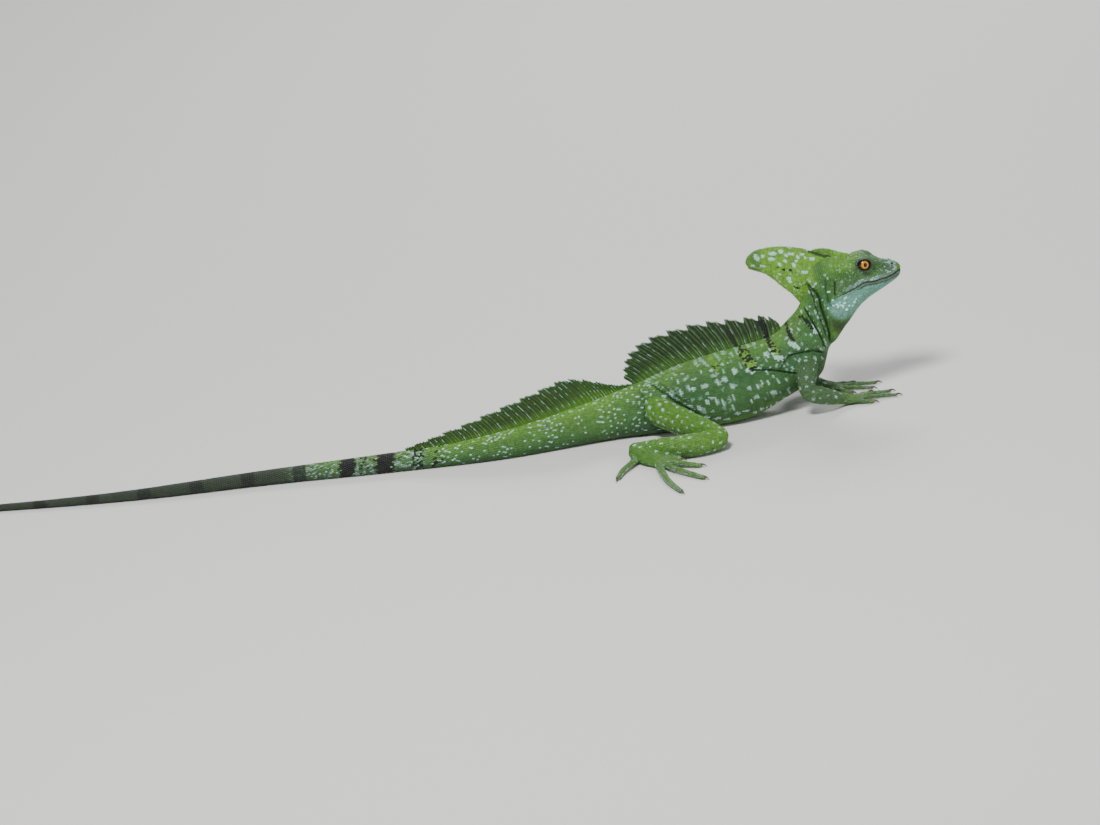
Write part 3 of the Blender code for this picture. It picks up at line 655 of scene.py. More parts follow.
places[:, 2] = np.maximum(places[:, 2], 0.02)
set_places(skin.data, places)
whole_tree = tree_of(skin.data)
OPENING = (4.15, 3.5)  # half width and half height of the eye's opening
LIDS_WIDE = 1.81  # how far out the lids reach at most, in parts of the opening
LID_ANGLES = full_turn(96)
RAY_START = 14.0  # how far before the eye the rays start that look for its skin and lids
eyes, lid_reach = {}, {}


def reach_of_lids(eye):
    """How far out the lids can go at each angle before the brow turns away from the gaze."""
    centre, gaze, ahead, above = eye
    reach = np.full(len(LID_ANGLES), LIDS_WIDE)
    for k, angle in enumerate(LID_ANGLES):
        edge = ahead * OPENING[0] * math.cos(angle) + above * OPENING[1] * math.sin(angle)
        for out in np.arange(1.25, LIDS_WIDE + 0.04, 0.04):
            start = Vector(centre + edge * out + gaze * RAY_START)
            place, normal, _, gap = whole_tree.ray_cast(start, Vector(-gaze))
            if place is None or normal.dot(Vector(gaze)) < 0.42 or gap > RAY_START:
                reach[k] = max(1.22, out - 0.04)
                break
    tripled = np.concatenate([reach, reach, reach])
    for _ in range(3):
        around = (np.roll(tripled, 1) + tripled + np.roll(tripled, -1)) / 3
        tripled = np.minimum(tripled, around + 0.01)
    return tripled[len(reach):2 * len(reach)]


for side, tag in ((-1, "right"), (1, "left")):
    centre = EYE_CENTRE * (1, 0, 1) + (0, HEAD_PLANE + side * EYE_CENTRE[1], 0)
    gaze = np.array([0.25, side * 0.95, 0.17])
    gaze /= np.linalg.norm(gaze)
    ahead = np.array([1.0, 0, -0.12]) - (gaze[0] - 0.12 * gaze[2]) * gaze
    ahead /= np.linalg.norm(ahead)
    above = np.cross(ahead, gaze) * -side
    above *= np.sign(above[2])
    eyes[tag] = (centre, gaze, ahead, above)
    lid_reach[tag] = reach_of_lids(eyes[tag])
    from_eye = places - centre
    out = from_eye @ gaze
    ring = np.hypot(from_eye @ ahead / OPENING[0], from_eye @ above / OPENING[1])
    inside = (1 - smooth_step(1.05, 1.3, ring)) * (out > 0)
    places += gaze * ((np.minimum(out, 0.8) - out) * inside)[:, None]
set_places(skin.data, places)
least = round(float(min(map(min, lid_reach.values()))), 2)
print("eye openings drawn; the lids reach out to between", least, "and", LIDS_WIDE)

# %% Skin lookups used by everything that lies on it
def tree_on(places):
    """A lookup of points."""
    tree = KDTree(len(places))
    for k, place in enumerate(places):
        tree.insert(place, k)
    tree.balance()
    return tree


skin_tree = tree_of(skin.data)
LOOKUP_RIBS, LOOKUP_TURN = np.linspace(0, LAST_RIB, 400), full_turn(72)
rings = [body_surface(np.full(len(LOOKUP_TURN), t), LOOKUP_TURN) for t in LOOKUP_RIBS]
body_rings = tree_on(np.vstack(rings))
middle_of_ribs = through(BODY_RIBS, LOOKUP_RIBS)
middle_of_ribs = (middle_of_ribs[:, 0] + middle_of_ribs[:, 2]) / 2


def body_coordinates(places):
    """For places on the body: x of their rib's middle, and how far round they are, 0 on the back, 1 below."""
    index = np.array([body_rings.find(place)[1] for place in places])
    rib, step = np.divmod(index, len(LOOKUP_TURN))
    round_body = np.abs((step / (len(LOOKUP_TURN) / 2) + 1) % 2 - 1)
    return middle_of_ribs[rib], round_body


print("skin and body lookups ready")

# %% [markdown]
# ## Where the colours lie
# The body is leaf green, yellower on the back, the crests and the root of the tail, and blue-green on the
# throat. Pale blue-white spots stand in loose rows, black bars cross the shoulders, and black bands cross
# the tail. A painted image could carry this, but here each mark is worked out from its place. The result is
# kept as two attributes, so that skin and scales show the same marks: `marks` holds how dark, how pale and
# how blue-green a place is, and `zones` how yellow, how grey-brown like the tail, and how grey like the lips.
# The dark layer also holds painted shade: in the folds, the mouth and the nostrils, under the jaw, round the
# eyes and on the forelimbs. The pale layer also holds painted highlights, mixed with pale scales, on the
# ridges above the folds, the upper lip and the snout.

# %% Work out the marks
BARS = [
    ([(79.0, 64.6), (83.6, 61.6), (85.6, 57.4), (87.5, 54.9)], 0.95, 1.0),
    ([(69.9, 60.3), (70.3, 53.9), (72.9, 48.6)], 1.15, 0.95),
    ([(54.0, 64.7), (55.4, 53.3), (56.1, 48.0)], 1.5, 1.0),
    ([(55.8, 49.0), (60.0, 41.6)], 2.3, 0.5),
    ([(31.8, 56.8), (35.5, 47.5)], 1.2, 0.9),
    ([(36.6, 46.2), (41.9, 34.6)], 3.3, 0.5),
    ([(13.8, 44.7), (16.9, 36.4)], 2.4, 0.22),
]
PATCHES = [
    ([(71.4, 46.4), (75.4, 42.4)], 1.7), ([(56.8, 44.8), (59.0, 38.6), (62.6, 37.2)], 1.7),
    ([(52.4, 41.6), (53.8, 40.2)], 1.3), ([(38.5, 32.3), (42, 31.2), (46.4, 32.2)], 1.6),
    ([(88.0, 56.6), (89.3, 51.5)], 1.3), ([(28.4, 33.8), (29.2, 31.4)], 1.2),
]
TAIL_BANDS = [(-200, 4.2, 0.42), (-222, 6.0, 1.0), (-249, 5.2, 1.0), (-186, 4.0, 0.2), (-236, 9.0, 0.12)]
# spots of the flank and neck, seen from the side: along, up, half width, half height
FLANK_SPOTS = [
    (-21.9, 23.2, 1.6, 1.1), (-16.4, 23.9, 1.5, 1.9), (-10.2, 23.9, 1.1, 2.0), (-10.9, 31.4, 0.9, 1.7),
    (-4.3, 26.1, 1.1, 2.1), (-1.4, 25.0, 1.7, 0.9), (7.2, 25.9, 2.5, 1.2), (16.4, 27.1, 1.2, 2.3),
    (21.7, 28.2, 1.9, 1.7), (29.7, 33.4, 1.1, 1.8), (26.0, 22.8, 0.8, 2.4), (7.3, 14.5, 1.5, 1.8),
    (13.8, 14.1, 1.1, 2.6), (18.5, 12.2, 0.9, 2.7), (24.7, 8.1, 0.9, 2.0), (25.7, 14.8, 0.9, 2.2),
    (37.6, 19.8, 0.8, 1.8), (43.9, 20.2, 0.9, 2.0), (42.2, 13.0, 0.8, 1.6), (38.1, 10.5, 0.9, 1.4),
    (47.3, 22.7, 0.7, 1.7), (51.6, 22.1, 0.7, 1.8), (54.2, 14.3, 2.3, 1.5), (55.2, 25.3, 0.8, 1.3),
    (51.4, 29.0, 0.7, 1.4), (64.6, 13.3, 0.8, 1.7), (58.4, 21.7, 0.7, 1.7), (64.6, 22.0, 0.8, 1.3),
    (-4.3, 9.4, 0.9, 1.4), (-4.9, 13.8, 0.8, 0.8), (1.2, 11.0, 1.7, 2.0), (10.5, 17.1, 1.7, 0.7),
    (-5.8, 32.5, 1.5, 0.9), (0.3, 31.6, 1.7, 0.7), (5.9, 35.8, 0.8, 1.2), (13.3, 35.9, 1.3, 0.8),
    (21.2, 39.1, 0.8, 1.2), (25.7, 39.6, 0.9, 0.7), (21.7, 34.0, 0.7, 1.4), (15.2, 31.9, 1.4, 0.7),
    (69.4, 29.4, 0.8, 1.2), (75.1, 34.1, 0.7, 1.4), (80.2, 34.6, 0.6, 1.2), (86.2, 33.7, 0.7, 1.3),
    (91.1, 33.0, 0.7, 1.2), (81.9, 29.4, 0.7, 0.9), (63.6, 32.1, 0.7, 1.4), (58.8, 32.8, 0.6, 0.9),
    (90.4, 87.7, 0.6, 1.0), (91.4, 83.5, 0.6, 1.0), (88.8, 79.9, 0.6, 0.9), (91.1, 75.6, 0.6, 1.2),
    (88.1, 69.6, 0.8, 0.6), (92.7, 69.9, 0.6, 1.0), (91.1, 65.7, 0.6, 1.4), (92.4, 61.5, 0.6, 1.0),
    (81.4, 67.2, 0.8, 0.8), (77.6, 55.3, 0.6, 1.2), (80.1, 58.4, 0.6, 1.0), (72.7, 56.0, 0.7, 0.7),
    (82.5, 51.6, 0.6, 1.1), (78.5, 44.7, 0.6, 1.0), (85.8, 50.6, 0.6, 0.9), (98.5, 82.5, 0.6, 0.8),
    (101.2, 90.0, 0.8, 0.8), (94.0, 85.1, 0.9, 0.8), (102.7, 87.3, 0.6, 0.8), (91.9, 71.5, 0.6, 0.7),
    (93.3, 74.3, 0.6, 0.7), (116.8, 93.8, 0.6, 0.5), (93.9, 40.0, 0.7, 0.6), (91.0, 40.3, 0.6, 0.5),
]
EDGE_SPOTS = [
    (5.1, 3.9, 2.1, 0.9), (12.6, 2.1, 2.3, 0.8), (19.4, 0.6, 2.0, 0.6), (27.1, 3.4, 1.5, 1.1),
    (32.8, 4.4, 2.6, 0.6), (39.4, 2.5, 1.4, 0.8), (44.0, 4.3, 1.3, 0.9), (47.8, 4.7, 0.7, 0.6),
    (51.0, 5.4, 0.7, 0.6), (61.5, 9.5, 1.2, 0.5), (55.6, 7.2, 1.1, 0.5), (66.0, 12.4, 0.9, 0.5),
]
TUBERCLES = [
    (99.8, 67.4), (104.1, 67.7), (106.4, 68.6), (107.1, 66.8), (108.7, 69.5), (109.4, 67.4),
    (111.9, 68.6), (110.8, 66.2), (115.0, 66.4), (112.8, 71.9), (120.5, 70.2), (118.8, 68.5),
    (104.0, 72.2), (112.9, 64.2), (117.4, 65.9), (102.0, 78.0),
]
# patches of dull old skin: along, up, radius
SCUFFS = [(-29.3, 21.0, 3.0), (-27.0, 17.6, 2.0), (-106.7, 13.8, 2.6)]
THROAT_EDGE = ([92, 97.5, 99.7, 104.1, 109.8, 114.5, 122], [74, 68.7, 63.6, 60.0, 58.0, 58.8, 60])
rng = np.random.default_rng(7)


def girth_at(along):
    return np.interp(along, [-200, -60], [20.0, 52.0])


def scattered_spots():
    """Faint streaks of the flank (along, round, half sizes, strength) and dots of the tail, where round is
    in parts of half a turn for the streaks and in millimetres for the dots."""
    spots, dots = [], []
    for k, along in enumerate(np.arange(-206, -26, 3.6)):
        girth = girth_at(along)
        for row in np.arange(0.06, 0.70, 5.4 / girth):
            if rng.random() < 0.88:
                dot_a = along + rng.uniform(-0.9, 0.9)
                dot_r = row * girth + (k % 2) * 2.7 + rng.uniform(-0.9, 0.9)
                dots.append((dot_a, dot_r, rng.uniform(0.55, 1.0)))
    for along in np.arange(-34, 92, 3.1):
        for row in np.arange(0.07, 0.74, 0.075):
            if rng.random() < 0.42:
                spot_a, spot_r = along + rng.uniform(-1.5, 1.5), row + rng.uniform(-0.03, 0.03)
                wide, tall = rng.uniform(0.4, 0.7), rng.uniform(0.7, 1.4) / 74
                spots.append((spot_a, spot_r, wide, tall, rng.uniform(0.2, 0.45)))
    return spots, np.array(dots)


BODY_SPOTS, TAIL_DOTS = scattered_spots()


def limb_spots():
    """Centres of the round spots of the limbs, spaced apart, and their radii."""
    centres = []
    for name, path in limbs.items():
        apart = 7.5 if "foot" in name else 5.0
        for place in rng.permutation(limb_surface(path, 40, 24, limb_up(name)).reshape(-1, 3)):
            if all(np.linalg.norm(place - other[:3]) > apart for other in centres):
                centres.append((*place, rng.uniform(0.65, 1.2)))
    return np.array(centres)


LIMB_SPOTS = limb_spots()
limb_spot_tree = tree_on(LIMB_SPOTS[:, :3])
print(len(BODY_SPOTS) + len(FLANK_SPOTS), "spots on the body,", len(LIMB_SPOTS), "on the limbs")

# %% The marks of any place on the animal
def jumbled(value, spread=43758.5453):
    """A number from 0 to 1 that looks random, and is the same each time for the same value."""
    return np.modf(np.abs(np.sin(value) * spread))[0]


def scatter(places, seed=0.0):
    """A number from 0 to 1 for each place that looks random, and stays the same within about a millimetre."""
    return jumbled(np.floor(places / 1.15) @ (12.9898, 78.233, 37.719) + seed)


def spots_at(x, up_v, spots):
    """How strongly side-view spots cover flat places. A spot leans as the ribs do."""
    cover = np.zeros(len(x))
    for spot_x, spot_v, wide, tall in spots:
        near = np.flatnonzero(np.abs(x - spot_x) < 3.5)
        lean = (x[near] - spot_x) + 0.26 * (up_v[near] - spot_v)
        away = (lean / wide) ** 2 + ((up_v[near] - spot_v) / tall) ** 2
        cover[near] = np.maximum(cover[near], smooth_step(1.7, 0.7, away))
    return cover


def body_marks(places):
    """How dark, pale, blue-green, yellow, tail brown and lip grey places on head, body and tail are."""
    flat = side_view(places)
    x, up_v = flat.T
    z = places[:, 2]
    along, around = body_coordinates(places)
    chance = scatter(places)
    wobble = 0.5 * np.sin(x * 1.9 + z * 1.3) + 0.5 * np.sin(x * 0.8 - z * 2.3)
    head = smooth_step(97, 103, x) * smooth_step(46, 50, z)
    trunk = (x < 96) | (z < 45)
    dark, pale, blue, lip = (np.zeros(len(x)) for _ in range(4))

    # flecks of the flank, dashes down from the sail's rays, and pale spots along the belly's edge
    for spot_a, spot_r, wide, tall, strength in BODY_SPOTS:
        near = np.flatnonzero(np.abs(along - spot_a) < 2.5)
        away = ((along[near] - spot_a) / wide) ** 2 + ((around[near] - spot_r) / tall) ** 2
        pale[near] = np.maximum(pale[near], strength * smooth_step(1.35, 0.8, away))
    pale *= trunk * (up_v < 66)
    flecks = (0.5 + 0.42 * scatter(np.round(places / 3.0) * 3.0)) * spots_at(x, up_v, FLANK_SPOTS)
    pale = np.maximum(pale, flecks * (around < 0.8))
    ridge_v = side_view(np.stack([x, sway_y(x), back_height(x)], axis=1))[:, 1]
    drop = ridge_v - up_v
    stations = np.array(SAIL_STATIONS)[::-1]
    lean = np.tan(np.radians(np.interp(x, stations[:, 0], stations[:, 1])))
    number = np.interp(x - drop * lean, stations[:, 0], np.arange(len(stations))[::-1])
    ray = number * (FINS["sail"][1] - 1) / (len(stations) - 1)
    dash = jumbled(np.floor(ray) * 12.9 + np.floor(drop / 3.1) * 78.2, 43758.5) < 0.5
    dash = (dash & (off_ray(ray) < 0.42)) * smooth_step(13, 8, drop) * (around < 0.2) * (x > -36) * (x < 52)
    pale = np.maximum(pale, dash * (0.25 + 0.35 * chance))
    edge = spots_at(x, up_v, EDGE_SPOTS) * (around < 0.9)
    pale, blue = np.maximum(pale, 0.9 * edge), np.maximum(blue, 0.8 * edge)

    # the yellower back, tail root and belly, then the saddle bars, their patches and the tail's bands
    yellow = 0.38 * smooth_step(0.42, 0.1, around) * smooth_step(100, 80, x)
    yellow += 0.33 * smooth_step(-30, -70, x) * smooth_step(0.75, 0.2, around)
    yellow += 0.28 * smooth_step(0.70, 0.78, around) * smooth_step(-20, 0, x) * smooth_step(90, 60, x)
    dark = np.maximum(dark, 0.26 * smooth_step(0.5, 0.72, around) * smooth_step(96, 90, x))
    for line, width in PATCHES:
        gap, share, hand = along_line(flat, line)
        inside = trunk * (gap + wobble * 0.5 + (chance - 0.5) * 0.9 < width) * (around < 0.6)
        pale, dark = np.maximum(pale, inside * (0.75 + 0.25 * chance)), dark * (1 - inside)
    for line, width, strength in BARS:
        gap, share, hand = along_line(flat, line)
        inside = trunk * (gap + wobble * 0.4 + (chance - 0.5) * 0.9 < width)
        black = inside * (chance < strength)
        dark = np.maximum(dark, black)
        yellow = np.where((inside > 0) & (black == 0), min(1.3, 0.3 + 2.0 * strength), yellow)
        pale *= 1 - inside
    for middle, half, strength in TAIL_BANDS:
        inside = np.abs(x - middle + wobble * 1.3 + (chance - 0.5) * 2.4 - (z - 6) * 0.2) < half
        dark = np.maximum(dark, inside * (chance < strength))

    # the brown end of the tail, its worn patches and the grey stretch between the bands
    tail = smooth_step(-252, -300, x)
    for scuff_x, scuff_v, radius in SCUFFS:
        away = (np.hypot(x - scuff_x, up_v - scuff_v) + wobble * 0.6) / radius
        worn = (1 - smooth_step(0.5, 1.0, away)) * (around < 0.8)
        lip, tail = np.maximum(lip, 0.9 * worn), np.maximum(tail, 0.4 * worn)
        pale = np.maximum(pale * (1 - worn), 0.25 * worn * chance)
    between = smooth_step(-186, -206, x) * smooth_step(-300, -262, x)
    lip = np.maximum(lip, 0.25 * between)
    pale = pale * smooth_step(-222, -206, x) + between * np.where(chance > 0.7, 0.4, 0.0)
    dark = np.maximum(dark, 0.4 * between * (scatter(places, 4.0) > 0.55))
    dark = np.maximum(dark, 0.8 * (x < -262) * (np.abs(np.sin(x * 0.085 + 0.4)) > 0.93))

    # the throat, and painted shadow under the jaw below it
    gap, share, hand = along_line(flat, MOUTH)
    under = head * (hand > 0)
    over = head * (hand <= 0)
    low_edge = np.interp(x, *THROAT_EDGE)
    throat = under * smooth_step(low_edge - 3.4, low_edge + 3.6, up_v + (chance - 0.5) * 1.6)
    throat = throat * smooth_step(97.5, 102.5, x)
    blue = np.maximum(blue, throat * (0.72 + 0.28 * chance))
    nape = 0.45 * head * smooth_step(101, 98, x) * smooth_step(62, 68, up_v) * smooth_step(86, 76, up_v)
    blue = np.maximum(blue, nape)
    yellow += 0.4 * head * smooth_step(low_edge + 2, low_edge - 3, up_v)
    below = 0.7 * head * smooth_step(low_edge + 1.0, low_edge - 4, up_v)
    dark = np.maximum(dark, below * smooth_step(low_edge - 15, low_edge - 7, up_v))
    for dot in TUBERCLES:
        hit = np.linalg.norm(flat - dot, axis=1) < 0.72
        pale[hit & (head > 0.5)] = 1.0
    pale = np.maximum(pale, throat * 0.12 * (0.4 + chance))
    # the grey lips, the ring round the eye, the snout, the cheek and the crown
    band = under * (1 - smooth_step(2.3, 3.2, gap)) * smooth_step(120, 127, x)
    lip = np.maximum(lip, 0.9 * band)
    dark = np.maximum(dark, 0.3 * band)
    blue = blue * (1 - band)
    upper_lip = over * (1 - smooth_step(2.2, 3.6, gap)) * smooth_step(112, 120, x)
    lip = np.maximum(lip, 0.9 * upper_lip)
    # the pale flecks of the upper lip are partly pale scales and partly painted highlight
    pale = np.maximum(pale, upper_lip * np.where(chance > 0.62, 0.75, 0.16))
    from_eye = np.hypot((x - 130.1) / 8.2, (up_v - 92.6) / 7.2)
    lip = np.maximum(lip, 0.45 * head * (1 - smooth_step(0.8, 1.3, from_eye)))
    # painted shade round the eye's opening, under the lids
    dark = np.maximum(dark, 0.4 * head * (1 - smooth_step(0.55, 0.95, from_eye)))
    snout = over * smooth_step(136, 146, x)
    lip = np.maximum(lip, 0.7 * snout)
    # the pale flecks of the snout are painted highlight
    pale = np.maximum(pale, snout * (chance > 0.8) * 0.6)
    off_nostril = np.linalg.norm(flat - NOSTRIL, axis=1)
    pale = np.maximum(pale, 0.34 * (head * (1 - smooth_step(1.4, 3.0, off_nostril))))
    # painted shade in the nostril's hole
    dark = np.maximum(dark, head * (off_nostril < 0.75))
    tip = head * smooth_step(150.6, 152.6, x) * smooth_step(84.5, 87, up_v)
    lip, pale, yellow = lip * (1 - tip), pale * (1 - tip), yellow + 0.45 * tip
    cheek = over * smooth_step(102, 110, x) * smooth_step(142, 130, x)
    low_cheek = cheek * smooth_step(89, 82, up_v)
    lip = np.maximum(lip, 0.3 * low_cheek)
    crown = head * smooth_step(84, 96, up_v) * smooth_step(136, 118, x)
    yellow += 0.40 * crown + 0.12 * cheek
    dark = np.maximum(dark, 0.15 * cheek * smooth_step(96, 88, up_v) + 0.12 * snout)
    pale = np.maximum(pale, 0.34 * cheek * (chance > 0.9))
    yellow += 0.6 * smooth_step(100, 90, x) * smooth_step(76, 86, up_v) * (z > 60)
    # painted shade in the folds, pale scales on the ridge above them that are partly painted highlight, and
    # painted shade in the line of the mouth
    for line, depth, width, _ in FOLDS:
        gap, share, hand = along_line(flat, line)
        fade = smooth_step(0, 0.1, share) * smooth_step(0, 0.1, 1 - share) * (around < 0.85)
        groove = fade * (1 - smooth_step(0.45 * width, 1.15 * width, gap)) * min(1.0, depth / 1.1)
        dark = np.maximum(dark, 0.85 * groove)
        pale *= 1 - groove
        above = fade * (hand > 0) * (np.abs(gap - 2.0 * width) < 0.55) * (chance > 0.5)
        pale = np.maximum(pale, 0.45 * (above * min(1.0, depth / 1.3)) * (x < 100))
    gap, share, hand = along_line(flat, MOUTH)
    dark = np.maximum(dark, head * 0.8 * (1 - smooth_step(0.2, 0.5, gap)) * smooth_step(0, 0.15, 1 - share))
    return dark, pale, blue, yellow, tail, lip


def limb_marks(places, digit):
    """The same layers as body_marks, for places on a limb, or on a digit where digit is 1."""
    x, z = places[:, 0], places[:, 2]
    none = np.zeros(len(places))
    chance = scatter(places)
    found = [limb_spot_tree.find(place) for place in places]
    gap, size = np.array([(gap, LIMB_SPOTS[index, 3]) for _, index, gap in found]).T
    pale = smooth_step(1.3, 0.8, gap / size) * (0.55 + 0.45 * np.abs(np.sin(size * 900)))
    out = np.abs(places[:, 1] - sway_y(x))
    hind = x < 40
    foot = np.where(hind, smooth_step(-38, -30, x) * smooth_step(66, 72, out), smooth_step(100, 106, x))
    foot = np.maximum(foot, digit)
    pale = np.where(digit > 0, 0.22 * (chance > 0.75), pale * (1 - 0.6 * foot))
    yellow = np.where(hind, 0.36 + 0.2 * foot + 0.2 * smooth_step(5, 14, z), 0.24 + 0.2 * foot)
    fore = ~hind * smooth_step(4, 9, z)
    lip = np.maximum(0.22 * foot, 0.5 * fore * (1 - foot))
    # painted shade: the forelimbs are darker all over, as the arm lies in shadow
    dark = np.maximum(0.5 * (chance > 0.88) * foot, 0.24 * ~hind)
    return dark, pale, none, yellow, none, lip


def coat_marks(places, part):
    """marks (dark, pale, blue-green) and zones (yellow, tail, lip) for places on one part of the animal."""
    layers = body_marks(places) if part == "body" else limb_marks(places, float(part == "digit"))
    layers = np.clip(np.array(layers, float), 0, 1)
    return columns(*layers[:3], 1), columns(*layers[3:], 1)


def plain_marks(n):
    """marks and zones of n places that carry none yet."""
    marks, zones = np.zeros((n, 4)), np.zeros((n, 4))
    marks[:, 3] = zones[:, 3] = 1
    return marks, zones


def store_marks(mesh, marks, zones):
    for name, values in (("marks", marks), ("zones", zones)):
        attribute = mesh.attributes.new(name, "FLOAT_COLOR", "POINT")
        attribute.data.foreach_set("color", np.ascontiguousarray(values, np.float32).ravel())


def store_value(mesh, name, values):
    attribute = mesh.attributes.new(name, "FLOAT", "POINT")
    attribute.data.foreach_set("value", np.asarray(values, np.float32))


def store_vector(mesh, name, values):
    attribute = mesh.attributes.new(name, "FLOAT_VECTOR", "POINT")
    attribute.data.foreach_set("vector", np.asarray(values, np.float32).ravel())


def store_coat(mesh, marks, zones, tone, crown):
    """All that the coat's shader reads, for a mesh that has one tone and isn't made of scales."""
    store_marks(mesh, marks, zones)
    store_value(mesh, "tone", np.full(len(mesh.vertices), tone))
    store_value(mesh, "crown", np.full(len(mesh.vertices), crown))


print("marks ready")

# %% [markdown]
# ## Fins
# The back and the tail each carry a fin: long spines of bone under the skin, with a thin membrane between.
# Every spine shows as a pale ridge and ends in a small free point. The fin is a grid, thick along each ray
# and thin between, folded over at its edge so that it is closed.

# %% Measures of the fins
# each station is x of the fin's root, how many degrees its rays lean back and how high it stands
SAIL_STATIONS = [
    (66, 14, 5), (58, 8, 14), (48, 10, 17), (36, 20, 21), (24, 28, 25), (10, 35, 27.5), (-4, 41, 29),
    (-16, 46, 27), (-26, 46, 21.5), (-34, 46, 14), (-40, 46, 7),
]
TAIL_FIN_STATIONS = [
    (-42, 34, 1), (-50, 34, 4), (-58, 34, 11), (-66, 34, 19), (-76, 35, 24), (-92, 35, 23),
    (-112, 35, 20.5), (-134, 35, 17), (-156, 35, 12.5), (-176, 35, 8.5), (-192, 35, 5), (-204, 35, 2),
]
# for each fin: stations, rays, rays in one lobe of the edge, depth of the lobes, length of the free points
FINS = {
    "sail": (SAIL_STATIONS, 27, 2, 4.4, 0.4),
    "tail": (TAIL_FIN_STATIONS, 46, 3, 2.7, 0.2),
}
FIN_SINK = 3.0  # how far the root lies under the back
RAY_PHASE = 0.24  # where the first ray stands, in parts of the gap between rays
LOBE_ROUNDNESS = 1.55  # 1 gives pointed lobes, more makes them rounder
back_ribs = BODY_RIBS[TRUNK_RIB - 2:]
back_order = np.argsort(back_ribs[:, 0])


def back_height(x):
    return np.interp(x, back_ribs[back_order, 0], back_ribs[back_order, 1])


def off_ray(u):
    """0 on a ray and 1 halfway between two rays."""
    return np.abs(u + RAY_PHASE - np.round(u + RAY_PHASE)) * 2


def fin_column(fin, u):
    """Root, direction and reach of the fin at u, where u counts rays."""
    stations, rays, scallop, steps, spike = FINS[fin]
    root_x, lean, length = through(stations, (len(stations) - 1) * u / (rays - 1)).T
    peak = 1 - RAY_PHASE / scallop
    lobe = (u % scallop) / scallop
    lobe = np.where(lobe < peak, lobe / peak, (1 - lobe) / (1 - peak))
    lobe = 1 - (1 - lobe) ** LOBE_ROUNDNESS
    reach = length * (1 - 0.035 * off_ray(u)) + steps * (lobe * 0.9 - 0.46) * np.minimum(1, length / 12)
    reach = reach + spike * np.maximum(0, 1 - off_ray(u) * 3.0) * np.minimum(1, length / 8)
    lean = np.radians(lean)
    root = np.stack([root_x, back_height(root_x) - FIN_SINK], axis=1)
    along = np.stack([-np.sin(lean), np.cos(lean)], axis=1)
    return root, along, np.maximum(reach, 0.8)


def fin_section(u, share):
    """Offset of the fin's middle and half its thickness at u and at a share of the height."""
    ray = bell(off_ray(u), 0.27)
    half = 0.85 + (0.2 - 0.85) * share ** 0.7 + 0.55 * ray * (1 - 0.6 * share)
    pleat = 0.34 * np.sin((u + RAY_PHASE) * np.pi * 2 + 1.2) * np.sin(share * np.pi * 0.9)
    return pleat, half


def fin_object(name, fin, per_ray, rows):
    rays = FINS[fin][1]
    columns = (rays - 1) * per_ray + 1
    u = np.linspace(0, rays - 1, columns)
    root, along, reach = fin_column(fin, u)
    share = np.linspace(0, 1, rows)
    reach_all = (FIN_SINK + reach)[:, None] * share[None, :]
    pleat, half = fin_section(u[:, None], share[None, :])
    bow = -2.2 * np.sin(share * np.pi)[None, :] * np.minimum(1, reach / 14)[:, None]
    x = root[:, 0, None] + along[:, 0, None] * reach_all - along[:, 1, None] * bow * 0.35
    z = root[:, 1, None] + along[:, 1, None] * reach_all + along[:, 0, None] * bow * 0.35
    right = bent(x, pleat - half, z)
    left = bent(x, pleat + half, z)[:, ::-1]
    obj = tube_object(name, np.concatenate([right, left], axis=1))
    gap = np.repeat(off_ray(u)[:, None], rows, 1)
    up_fin = np.repeat(share[None, :], columns, 0)
    for attribute, values in (("off_ray", gap), ("up_fin", up_fin)):
        store_value(obj.data, attribute, np.concatenate([values, values[:, ::-1]], axis=1).ravel())
    return obj


sail = fin_object("back_sail_skin", "sail", 10, 26)
tail_fin = fin_object("tail_fin_skin", "tail", 8, 20)
print("fin faces:", len(sail.data.polygons), len(tail_fin.data.polygons))

# %% [markdown]
# ## The look of skin and scales
# Skin and scales share one shader group, `coat`. It mixes the greens by the zones, lays the marks over
# them, and varies the tone from scale to scale. It also darkens each scale towards its edges, and the skin
# between scales, as painted shade. It puts out a colour, a roughness and a height for fine grain. The
# Principled shader stays in each material, with its own sheen and gloss.

# %% Build the shared coat group
def new_tree(name, kind, inputs, outputs):
    """A node tree with its inputs (name, kind and default) and outputs (name and kind)."""
    tree = bpy.data.node_groups.new(name, kind)
    for label, socket_kind, default in inputs:
        socket = tree.interface.new_socket(label, in_out="INPUT", socket_type="NodeSocket" + socket_kind)
        if default is not None:
            socket.default_value = default
    for label, socket_kind in outputs:
        tree.interface.new_socket(label, in_out="OUTPUT", socket_type="NodeSocket" + socket_kind)
    return tree


coat = new_tree(
    "coat", "ShaderNodeTree",
    [("Green", "Color", (0.062, 0.195, 0.06, 1)), ("Grain Size", "Float", 900.0),
     ("Tone Change", "Float", 0.35), ("Painted Gap Shade", "Float", 0.6)],
    [("Colour", "Color"), ("Roughness", "Float"), ("Height", "Float")])
# one black serves the bars and bands and the painted shade in the dark layer of marks
LIME, LIP_GREY, AQUA = (0.275, 0.62, 0.05), (0.155, 0.245, 0.165), (0.19, 0.52, 0.42)
TAIL_BROWN, SPOT_WHITE, MARK_AND_SHADE_BLACK = (0.036, 0.046, 0.032), (0.58, 0.90, 0.83), (0.005, 0.008, 0.005)


